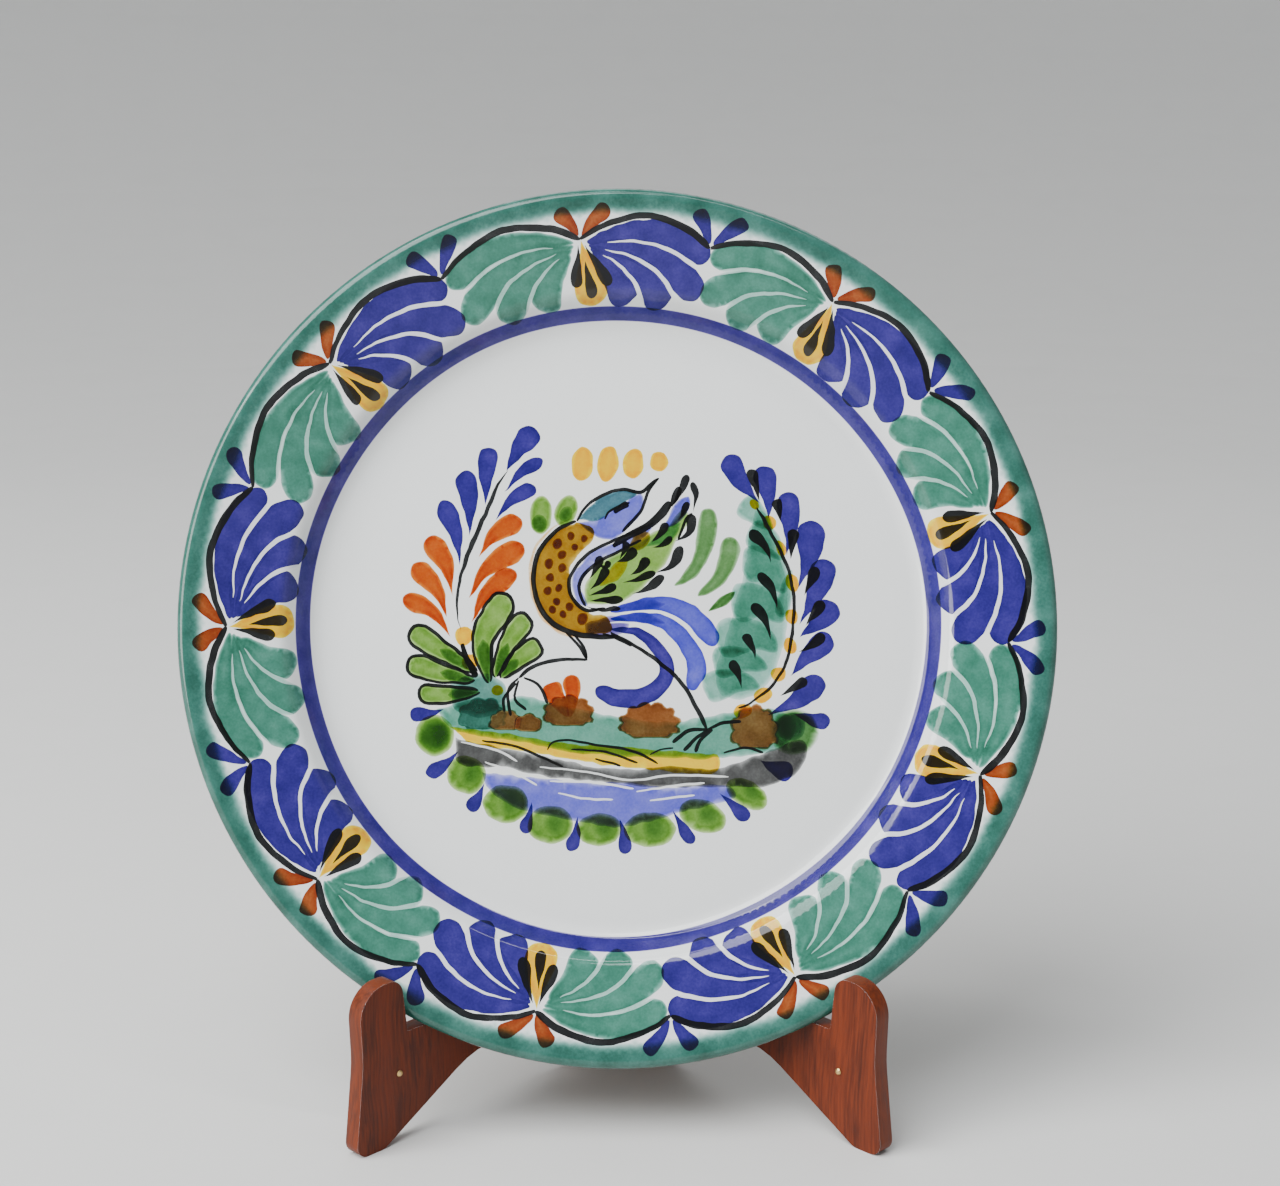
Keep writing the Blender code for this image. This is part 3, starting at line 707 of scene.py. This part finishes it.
def in_scene(name, data):
    """A new object at the scene's origin."""
    obj = bpy.data.objects.new(name, data)
    bpy.context.scene.collection.objects.link(obj)
    return obj


def grown(name, mesh, tree, **values):
    """The mesh that a tree makes from another mesh, with the tree's named inputs set first."""
    obj = in_scene(name, mesh)
    modifier = obj.modifiers.new(name, "NODES")
    modifier.node_group = tree
    for item in tree.interface.items_tree:
        if item.in_out == "INPUT" and item.name in values:
            modifier[item.identifier] = values[item.name]
    bpy.context.view_layer.update()
    result = bpy.data.meshes.new_from_object(obj.evaluated_get(bpy.context.evaluated_depsgraph_get()))
    bpy.data.objects.remove(obj)
    result.name = name
    return result


def polyline(name, line):
    mesh = bpy.data.meshes.new(name)
    mesh.from_pydata([tuple(p) for p in line], [(i, i + 1) for i in range(len(line) - 1)], [])
    return mesh


# %% [markdown]
# ## Glaze, clay, wood and brass
#
# Small effects that several materials share are node groups. "Mottle" gives a soft random field
# around 1 from Object coordinates, so it stays put on the piece. "Pigment on glaze" turns the
# stored absorptions into a colour.

# %% Shared shader groups


def shader_group(name, inputs, outputs):
    group = bpy.data.node_groups.new(name, "ShaderNodeTree")
    for label, kind, value in inputs:
        socket = group.interface.new_socket(label, in_out="INPUT", socket_type="NodeSocket" + kind)
        socket.default_value = value
    for label, kind in outputs:
        group.interface.new_socket(label, in_out="OUTPUT", socket_type="NodeSocket" + kind)
    return group, group.nodes.new("NodeGroupInput"), group.nodes.new("NodeGroupOutput")


def use(tree, group, **values):
    """A node that runs a shader group, with its inputs linked or given values by name."""
    node = tree.nodes.new("ShaderNodeGroup")
    node.node_tree = group
    for label, value in values.items():
        socket = node.inputs[label.replace("_", " ")]
        if isinstance(value, bpy.types.NodeSocket):
            tree.links.new(value, socket)
        else:
            socket.default_value = value
    return node


def mottle_group():
    """A random field with the given size in millimetres, between 1 - Amount and 1 + Amount."""
    group, given, out = shader_group(
        "Mottle", [("Size", "Float", 10.0), ("Amount", "Float", 0.1), ("Detail", "Float", 3.0)],
        [("Field", "Float")])
    where = add(group, "ShaderNodeTexCoord").outputs["Object"]
    scale = maths(group, "DIVIDE", 1000.0, given.outputs["Size"])
    cloud = add(group, "ShaderNodeTexNoise",
                {"Vector": where, "Scale": scale, "Detail": given.outputs["Detail"]})
    spread = maths(group, "MULTIPLY", maths(group, "SUBTRACT", cloud.outputs[0], 0.5), 2.0)
    field = maths(group, "ADD", maths(group, "MULTIPLY", spread, given.outputs["Amount"]), 1.0)
    group.links.new(field, out.inputs["Field"])
    return group


def pigment_group():
    """White glaze seen through pigment: white times exp(-absorption), channel by channel."""
    group, given, out = shader_group(
        "Pigment on glaze", [("Absorption", "Vector", (0, 0, 0)), ("Strength", "Float", 1.0),
                             ("White", "Color", (0.8, 0.8, 0.8, 1))], [("Colour", "Color")])
    parts = add(group, "ShaderNodeSeparateXYZ", {0: given.outputs["Absorption"]})
    through = []
    for k in range(3):
        dense = maths(group, "MULTIPLY", parts.outputs[k], given.outputs["Strength"])
        through.append(maths(group, "EXPONENT", maths(group, "MULTIPLY", dense, -1.0)))
    seen = add(group, "ShaderNodeCombineXYZ", dict(enumerate(through)))
    tinted = add(group, "ShaderNodeMix", {6: given.outputs["White"], 7: seen.outputs[0], 0: 1.0},
                 data_type="RGBA", blend_type="MULTIPLY")
    group.links.new(tinted.outputs[2], out.inputs["Colour"])
    return group


def grain_group():
    """Wood grain that runs along Z: long fine streaks, broader bands, and dark pores."""
    group, given, out = shader_group(
        "Grain", [("Fine", "Float", 900.0), ("Band", "Float", 130.0)],
        [("Streak", "Float"), ("Band", "Float"), ("Pore", "Float")])
    where = add(group, "ShaderNodeTexCoord").outputs["Object"]
    sway = add(group, "ShaderNodeTexNoise", {"Vector": where, "Scale": 14.0, "Detail": 2.0})
    bent = add(group, "ShaderNodeMix", {0: 0.012, 4: where, 5: sway.outputs["Color"]}, data_type="VECTOR")
    long = add(group, "ShaderNodeMapping", {"Vector": bent.outputs[1], "Scale": (1, 1, 0.045)})
    fine, broad = (
        add(group, "ShaderNodeTexNoise",
            {"Vector": long.outputs[0], "Scale": given.outputs[label], "Detail": detail})
        for label, detail in (("Fine", 4.0), ("Band", 2.0)))
    short = add(group, "ShaderNodeMapping", {"Vector": bent.outputs[1], "Scale": (1, 1, 0.12)})
    pores = add(group, "ShaderNodeTexVoronoi", {"Vector": short.outputs[0], "Scale": 1500.0})
    pore = add(group, "ShaderNodeMapRange", {0: pores.outputs["Distance"], 1: 0.1, 2: 0.28, 3: 1.0, 4: 0.0})
    streak, band = (
        add(group, "ShaderNodeMapRange", {0: source.outputs[0], 1: 0.36, 2: 0.64}) for source in (fine, broad))
    for label, value in (("Streak", streak.outputs[0]), ("Band", band.outputs[0]), ("Pore", pore.outputs[0])):
        group.links.new(value, out.inputs[label])
    return group


MOTTLE, PIGMENT, GRAIN = mottle_group(), pigment_group(), grain_group()


def new_material(name, **values):
    """A material and its node tree, with Principled values set by name."""
    material = bpy.data.materials.new(name)
    material.use_nodes = True
    shader = material.node_tree.nodes["Principled BSDF"]
    for label, value in values.items():
        shader.inputs[label.replace("_", " ")].default_value = value
    return material, material.node_tree, shader


def bump(tree, shader, heights):
    """Adds surface relief from (height field, strength, distance in millimetres) layers."""
    normal = None
    for height, strength, distance in heights:
        links = {"Height": height, "Strength": strength, "Distance": distance * MM}
        if normal:
            links["Normal"] = normal
        normal = add(tree, "ShaderNodeBump", links).outputs[0]
    tree.links.new(normal, shader.inputs["Normal"])


def mix_colours(tree, factor, a, b, blend="MIX"):
    return add(tree, "ShaderNodeMix", {0: factor, 6: a, 7: b}, data_type="RGBA", blend_type=blend).outputs[2]


# %% The materials


def glaze_material():
    material, tree, shader = new_material("painted_glaze", IOR=1.52)
    paint = add(tree, "ShaderNodeAttribute", attribute_name="absorption").outputs["Vector"]
    patches = use(tree, MOTTLE, Size=7.0, Amount=0.22, Detail=5.0).outputs[0]
    flecks = use(tree, MOTTLE, Size=0.9, Amount=0.16, Detail=2.0).outputs[0]
    strength = maths(tree, "MULTIPLY", patches, flecks)
    cream = mix_colours(tree, use(tree, MOTTLE, Size=60.0, Amount=0.9).outputs[0],
                        (0.715, 0.735, 0.735, 1), (0.70, 0.715, 0.71, 1))
    colour = use(tree, PIGMENT, Absorption=paint, Strength=strength, White=cream).outputs[0]
    tree.links.new(colour, shader.inputs["Base Color"])
    rough = add(tree, "ShaderNodeMapRange", {0: use(tree, MOTTLE, Size=4.0, Amount=1.0, Detail=4.0).outputs[0],
                                             1: 0.4, 2: 1.6, 3: 0.05, 4: 0.13})
    tree.links.new(rough.outputs[0], shader.inputs["Roughness"])
    bump(tree, shader, [(use(tree, MOTTLE, Size=26.0, Amount=1.0, Detail=1.0).outputs[0], 0.35, 0.35),
                        (use(tree, MOTTLE, Size=2.2, Amount=1.0, Detail=2.0).outputs[0], 0.10, 0.03)])
    return material


def clay_material():
    material, tree, shader = new_material("bare_clay", Roughness=0.85)
    colour = mix_colours(tree, use(tree, MOTTLE, Size=1.2, Amount=0.9).outputs[0],
                         (0.50, 0.24, 0.13, 1), (0.62, 0.36, 0.22, 1))
    tree.links.new(colour, shader.inputs["Base Color"])
    bump(tree, shader, [(use(tree, MOTTLE, Size=0.7, Amount=1.0).outputs[0], 0.5, 0.08)])
    return material


def wood_material():
    material, tree, shader = new_material(
        "stained_wood", Coat_Weight=0.04, Coat_Roughness=0.3, Specular_IOR_Level=0.22)
    grain = use(tree, GRAIN)
    colour = mix_colours(tree, grain.outputs["Band"], (0.040, 0.0046, 0.0007, 1), (0.088, 0.0115, 0.0017, 1))
    # Painted highlight: the "edge" attribute lightens the sawn and rounded edges of the boards, as if they
    # caught the light; it is the last entry in the list below.
    edge = add(tree, "ShaderNodeAttribute", attribute_name="edge").outputs["Fac"]
    for field, share, tone in ((grain.outputs["Streak"], 0.75, (0.150, 0.023, 0.004, 1)),
                               (grain.outputs["Pore"], 0.5, (0.045, 0.012, 0.005, 1)),
                               (edge, 0.2, (0.19, 0.042, 0.010, 1))):
        colour = mix_colours(tree, maths(tree, "MULTIPLY", field, share), colour, tone)
    tree.links.new(colour, shader.inputs["Base Color"])
    rough = add(tree, "ShaderNodeMapRange", {0: grain.outputs["Streak"], 3: 0.36, 4: 0.5})
    tree.links.new(rough.outputs[0], shader.inputs["Roughness"])
    bump(tree, shader, [(grain.outputs["Streak"], 0.12, 0.1),
                        (maths(tree, "SUBTRACT", 1.0, grain.outputs["Pore"]), 0.25, 0.1)])
    return material


def brass_material():
    material, tree, shader = new_material("dull_brass", Metallic=1.0)
    stain = use(tree, MOTTLE, Size=3.0, Amount=0.9, Detail=4.0).outputs[0]
    colour = mix_colours(tree, maths(tree, "MULTIPLY", stain, 0.5),
                         (0.78, 0.56, 0.24, 1), (0.50, 0.33, 0.13, 1))
    tree.links.new(colour, shader.inputs["Base Color"])
    rough = add(tree, "ShaderNodeMapRange", {0: stain, 1: 0.4, 2: 1.6, 3: 0.24, 4: 0.5})
    tree.links.new(rough.outputs[0], shader.inputs["Roughness"])
    bump(tree, shader, [(use(tree, MOTTLE, Size=0.4, Amount=1.0).outputs[0], 0.12, 0.02)])
    return material


GLAZE, CLAY, WOOD, BRASS = glaze_material(), clay_material(), wood_material(), brass_material()
print("materials:", GLAZE.name, CLAY.name, WOOD.name, BRASS.name)

# %% The plate, face and back welded
LATHE = lathe_tree()
under = section[equator:]
IVORY = np.array([0.10, 0.13, 0.24])  # the bare glaze behind is a little warmer than the face's
SEAM = 0.004  # closer than this, a point of the face and a point of the back are the same point
back = grown("plate_back", polyline("section", [(r, 0, z) for r, z in under]), LATHE,
             Steps=LAND, Rows=100, Material=GLAZE)
height = np.interp(corner_radius, face_line[:, 0], face_line[:, 1])
whole = bmesh.new()
layer = whole.loops.layers.float_color.new("absorption")
made = [whole.verts.new((x, y, z)) for (x, y), z in zip(points, height)]
for corners, amounts in zip(triangles, absorbed):
    face = whole.faces.new([made[k] for k in corners])
    for loop, amount in zip(face.loops, amounts):
        loop[layer] = (*amount, 1.0)
whole.faces.ensure_lookup_table()
whole.from_mesh(back)
bmesh.ops.remove_doubles(whole, verts=whole.verts, dist=SEAM)
bmesh.ops.recalc_face_normals(whole, faces=whole.faces)
behind = 0
for face in whole.faces:
    face.smooth = True
    middle = face.calc_center_median()
    radius = math.hypot(middle.x, middle.y)
    line = np.interp(radius, face_line[:, 0], face_line[:, 1])
    if middle.z > line - 1.2 and middle.z > 8.5:
        continue  # on the face, which is painted already
    behind += 1
    face.material_index = 1 if middle.z < 0.7 else 0  # the foot ring stands on bare clay
    for loop in face.loops:
        r = math.hypot(loop.vert.co.x, loop.vert.co.y)
        wrap = 0.9 * min(1.0, max(0.0, (r - 156 - 1.5 * noise.noise(loop.vert.co * 0.05)) / 4.0))
        loop[layer] = (*(wrap * PIGMENTS["band"] + IVORY), 1.0)
open_edges = sum(not e.is_manifold for e in whole.edges)
plate_mesh = bpy.data.meshes.new("painted_plate")
whole.to_mesh(plate_mesh)
whole.free()
plate_mesh.materials.append(GLAZE)
plate_mesh.materials.append(CLAY)
co = np.array([v.co for v in plate_mesh.vertices])
r = np.hypot(co[:, 0], co[:, 1])
on_face = np.abs(co[:, 2] - np.interp(r, face_line[:, 0], face_line[:, 1])) < 0.02
lean = np.stack([np.interp(r, face_line[:, 0], face_normal[:, k]) for k in (0, 1)], 1)
turned = np.array([v.normal for v in plate_mesh.vertices])
away = co[:, :2] / np.maximum(r, 1e-6)[:, None]
turned[on_face] = np.column_stack([away[on_face] * lean[on_face, :1], lean[on_face, 1]])
spin = np.array(TO_PLACE.to_3x3()) / MM
plate_mesh.transform(TO_PLACE)
plate_mesh.normals_split_custom_set_from_vertices([tuple(n / np.linalg.norm(n)) for n in turned @ spin.T])
plate = in_scene("painted_plate", plate_mesh)
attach(plate, "charger")
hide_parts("plate")
print("plate:", len(plate_mesh.polygons), "faces,", behind, "of them behind,", open_edges, "open edges")

# %% [markdown]
# ## The stand
#
# Both boards are sawn from the same outline: a hooked foot in front for the rim, an arch so that
# each board stands on two feet, and a sloping back for the plate to lean on. A tree fills the
# outline and gives it thickness, and then the sawn edges are rounded over as sandpaper would.

# %% A tree that saws a board
WALL = 109.7  # how far out the hook's inner side is
THICK, GAP = 7.0, 1.4  # a board, and half the gap that the hinges leave when it is shut
BOARD = [
    (2.6, 0, 1), (21, 0, 6), (WALL - 46, 33, 38), (WALL + 12.5, 0, 6), (WALL + 25.8, 0, 5),
    (WALL + 21.4, 36, 50), (WALL + 22.4, 65.3, 12), (WALL + 2.4, 65.3, 6), (WALL, 43.5, 1),
    (WALL - 24, 43.5, 12), (56.4, 68, 30), (38.2, 116, 0), (32.9, 122, 5), (23.9, 124, 12), (2.6, 97, 12),
]
HINGE = Vector(next(j["pos_m"] for j in frame["record"]["behaviour"]["joints"] if j["name"] == "stand_fold"))


def board_tree():
    tree, given, out = new_tree("saw a board", [("Thickness", "Float"), ("Material", "Material")])
    curve = add(tree, "GeometryNodeMeshToCurve", {0: given.outputs["Geometry"]})
    filled = add(tree, "GeometryNodeFillCurve", {0: curve.outputs[0]})
    thick = add(tree, "GeometryNodeExtrudeMesh", {
        "Mesh": filled.outputs[0], "Offset": (0, 0, 1), "Offset Scale": given.outputs["Thickness"],
        "Individual": False})
    turned_over = add(tree, "GeometryNodeFlipFaces", {0: filled.outputs[0]})
    both = add(tree, "GeometryNodeJoinGeometry")
    tree.links.new(thick.outputs[0], both.inputs[0])
    tree.links.new(turned_over.outputs[0], both.inputs[0])
    welded = add(tree, "GeometryNodeMergeByDistance", {"Geometry": both.outputs[0], "Distance": 1e-3})
    return close_tree(tree, welded.outputs[0], given, out)


def closed_outline(name, line):
    mesh = bpy.data.meshes.new(name)
    mesh.from_pydata([(p[0], p[1], 0) for p in line], [(i, (i + 1) % len(line)) for i in range(len(line))], [])
    return mesh


SAW = board_tree()
for side_name, side in (("left", -1), ("right", 1)):
    mesh = grown(side_name + "_hooked_board", closed_outline("outline", rounded(BOARD, math.radians(9))), SAW,
                 Thickness=THICK, Material=WOOD)
    work = bmesh.new()
    work.from_mesh(mesh)
    arris = [e for e in work.edges if len(e.link_faces) == 2 and e.calc_face_angle(0) > 1.2]
    bmesh.ops.bevel(work, geom=arris, offset=1.15, segments=4, profile=0.5, affect="EDGES", clamp_overlap=True)
    # Where the wood gets its painted highlight: 1 on the sawn edges and rounded arrises, 0.35 on the broad
    # faces.
    edge_highlight = work.verts.layers.float.new("edge")
    for vert in work.verts:
        flats = [f for f in vert.link_faces if abs(f.normal.z) > 0.999]
        vert[edge_highlight] = 1.0 if not flats else 0.35
    for face in work.faces:
        face.smooth = abs(face.normal.z) < 0.999
    upright = Matrix.Rotation(math.pi / 2, 4, "X")
    inward = Matrix.Translation((0, GAP + THICK if side > 0 else -GAP, 0))
    turn = Matrix.Rotation(-math.pi / 2 + side * math.pi / 4, 4, "Z")
    foot = Matrix.Translation((HINGE.x, HINGE.y, 0))
    bmesh.ops.transform(work, matrix=foot @ turn @ Matrix.Scale(MM, 4) @ inward @ upright, verts=work.verts)
    bmesh.ops.recalc_face_normals(work, faces=work.faces)
    work.to_mesh(mesh)
    work.free()
    board = in_scene(side_name + "_hooked_board", mesh)
    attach(board, "stand_" + side_name)
    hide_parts(side_name + "_board")
    print(board.name, len(mesh.polygons), "faces")

# %% [markdown]
# ## Hinges and screws
#
# The hinges, pins and small pins in the boards keep their measured shapes and get the brass
# material. The screws are all the same, so one is made and a tree places it where each of the
# measured screws is, head outwards. A slot cut across each head shows how they were driven.

# %% One slotted screw, placed by a tree


def screw_tree():
    tree, given, out = new_tree("place screws", [("Screw", "Object"), ("Material", "Material")])
    points = add(tree, "GeometryNodeMeshToPoints", {0: given.outputs["Geometry"]})
    shape = add(tree, "GeometryNodeObjectInfo", {"Object": given.outputs["Screw"]})
    facing = add(tree, "GeometryNodeInputNamedAttribute", {"Name": "facing"}, data_type="FLOAT_VECTOR")
    aim = add(tree, "FunctionNodeAlignEulerToVector", {"Vector": facing.outputs[0]}, axis="Z")
    twist = add(tree, "FunctionNodeRandomValue", {2: 0.0, 3: 6.283, "Seed": 4}, data_type="FLOAT")
    around = add(tree, "ShaderNodeCombineXYZ", {"Z": twist.outputs[1]})
    rotation = add(tree, "FunctionNodeRotateEuler",
                   {"Rotation": aim.outputs[0], "Rotate By": around.outputs[0]}, space="LOCAL")
    placed = add(tree, "GeometryNodeInstanceOnPoints", {
        "Points": points.outputs[0], "Instance": shape.outputs["Geometry"], "Rotation": rotation.outputs[0]})
    return close_tree(tree, placed.outputs[0], given, out)


SCREW = [(0, 0.0), (1.5, -0.02), (1.8, -0.12), (0.9, -1.0), (0.9, -4.0), (0, -5.0)]
screw_mesh = grown("screw_shape", polyline("screw_section", [(r, 0, z) for r, z in SCREW]), LATHE,
                   Steps=24, Rows=44, Material=BRASS)
screw_mesh.transform(Matrix.Scale(MM, 4))
screw = in_scene("screw_shape", screw_mesh)
cutter_mesh = bpy.data.meshes.new("slot")
block = bmesh.new()
bmesh.ops.create_cube(block, size=1.0, matrix=Matrix.Diagonal((5 * MM, 0.5 * MM, 0.9 * MM, 1)))
block.to_mesh(cutter_mesh)
block.free()
cutter = in_scene("slot", cutter_mesh)
slot_cut = screw.modifiers.new("slot", "BOOLEAN")
slot_cut.object = cutter
slot_cut.operation = "DIFFERENCE"
bpy.context.view_layer.update()
slotted = bpy.data.meshes.new_from_object(screw.evaluated_get(bpy.context.evaluated_depsgraph_get()))
screw.modifiers.clear()
screw.data = slotted
PLACE_SCREWS = screw_tree()
HEAD_OUT = 1.58 * MM  # a slanted screw's box leans towards its wide head
for side_name, side in (("left", -1), ("right", 1)):
    names = sorted(n for n in frame["nodes"] if f"_{side_name}_screw" in n)
    outward = Vector((-side, -1, 0)).normalized()
    heads = []
    for name in names:
        low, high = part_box(name)
        heads.append((low + high) / 2 + outward * HEAD_OUT)
    spots = bpy.data.meshes.new(side_name + "_spots")
    spots.from_pydata(heads, [], [])
    facing = spots.attributes.new("facing", "FLOAT_VECTOR", "POINT")
    facing.data.foreach_set("vector", list(outward) * len(heads))
    mesh = grown(side_name + "_screws", spots, PLACE_SCREWS, Screw=screw, Material=BRASS)
    screws = in_scene(side_name + "_screws", mesh)
    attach(screws, "stand_" + side_name)
    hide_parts(*names)
    print(screws.name, len(mesh.polygons), "faces")
for helper in (screw, cutter):
    bpy.data.objects.remove(helper)
for name, node in frame["nodes"].items():
    if "hinge" in name or "brad" in name:
        node.data.materials.clear()
        node.data.materials.append(BRASS)

# %% [markdown]
# ## Floor, light and camera
#
# The object stands on a wide pale floor that curves up all round, far away. The light is a cloudy
# sky: a large soft panel overhead in front, stronger from the left than from the right, and a pale
# surround for the glaze to reflect. A narrow bright strip gives the shiny line in the rim's hollow.

# %% The floor
paper, paper_tree, paper_shader = new_material("pale_floor", Roughness=0.9)
tone = use(paper_tree, MOTTLE, Size=45.0, Amount=0.5, Detail=5.0).outputs[0]
shade = mix_colours(paper_tree, tone, (0.56, 0.555, 0.54, 1), (0.60, 0.595, 0.58, 1))
paper_tree.links.new(shade, paper_shader.inputs["Base Color"])
FLAT, BEND = 1.4, 3.0
bowl = [(0, 0, 0), (FLAT, 0, 0)]
bowl += [(FLAT + BEND * math.sin(a), 0, BEND - BEND * math.cos(a)) for a in np.linspace(0.03, 1.2, 40)]
sweep = grown("floor", polyline("floor_line", bowl), LATHE, Steps=128, Rows=160, Material=paper)
floor = in_scene("floor", sweep)
floor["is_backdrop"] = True

# %% Lights


def panel(name, where, target, width, height, power, colour=(1, 1, 1)):
    """A rectangular soft light that faces its target."""
    light = bpy.data.lights.new(name, "AREA")
    light.shape = "RECTANGLE"
    light.size, light.size_y, light.energy, light.color = width, height, power, colour
    obj = in_scene(name, light)
    obj.location = where
    obj.rotation_euler = (Vector(target) - Vector(where)).to_track_quat("-Z", "Y").to_euler()
    obj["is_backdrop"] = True


middle = Vector((0, 0, 0.17))
panel("sky", (-1.0, -0.9, 2.0), middle, 2.2, 1.6, 92, (0.96, 0.98, 1.0))
panel("left_fill", (-1.8, -1.1, 0.9), middle, 1.2, 1.4, 46, (1.0, 0.99, 0.97))
panel("right_fill", (1.8, -1.1, 0.9), middle, 1.2, 1.4, 1.5)
panel("back", (0.3, 1.3, 1.6), middle, 1.6, 0.8, 8)
panel("strip", (-0.1, -0.25, 1.9), middle, 1.8, 0.1, 7)
world = bpy.data.worlds.new("pale_surround")
world.use_nodes = True
world.node_tree.nodes["Background"].inputs["Color"].default_value = (0.82, 0.86, 0.90, 1)
world.node_tree.nodes["Background"].inputs["Strength"].default_value = 0.46
bpy.context.scene.world = world

# %% The camera, straight in front and looking slightly down
lens = bpy.data.cameras.new("camera")
camera = in_scene("camera", lens)
bpy.context.scene.camera = camera
lens.sensor_width = 36
lens.lens = 67.55625
AWAY, ASIDE, UP = 0.9, 0.00824313, 0.01292673  # metres from the aim, and how far the sight line passes it
tilt = math.radians(15)
ahead = Vector((0, math.cos(tilt), -math.sin(tilt)))
rise = Vector((0, math.sin(tilt), math.cos(tilt)))
aim = PLATE_MIDDLE + axis * 25.7 * MM
camera.location = aim - ahead * AWAY
sight = ahead * AWAY + Vector((ASIDE, 0, 0)) + rise * UP
camera.rotation_euler = sight.to_track_quat("-Z", "Y").to_euler()
print("camera at", tuple(round(v, 3) for v in camera.location))

# %% The sizes before and after
size_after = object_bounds()
[[list(corner) for corner in both] for both in (size_before, size_after)]
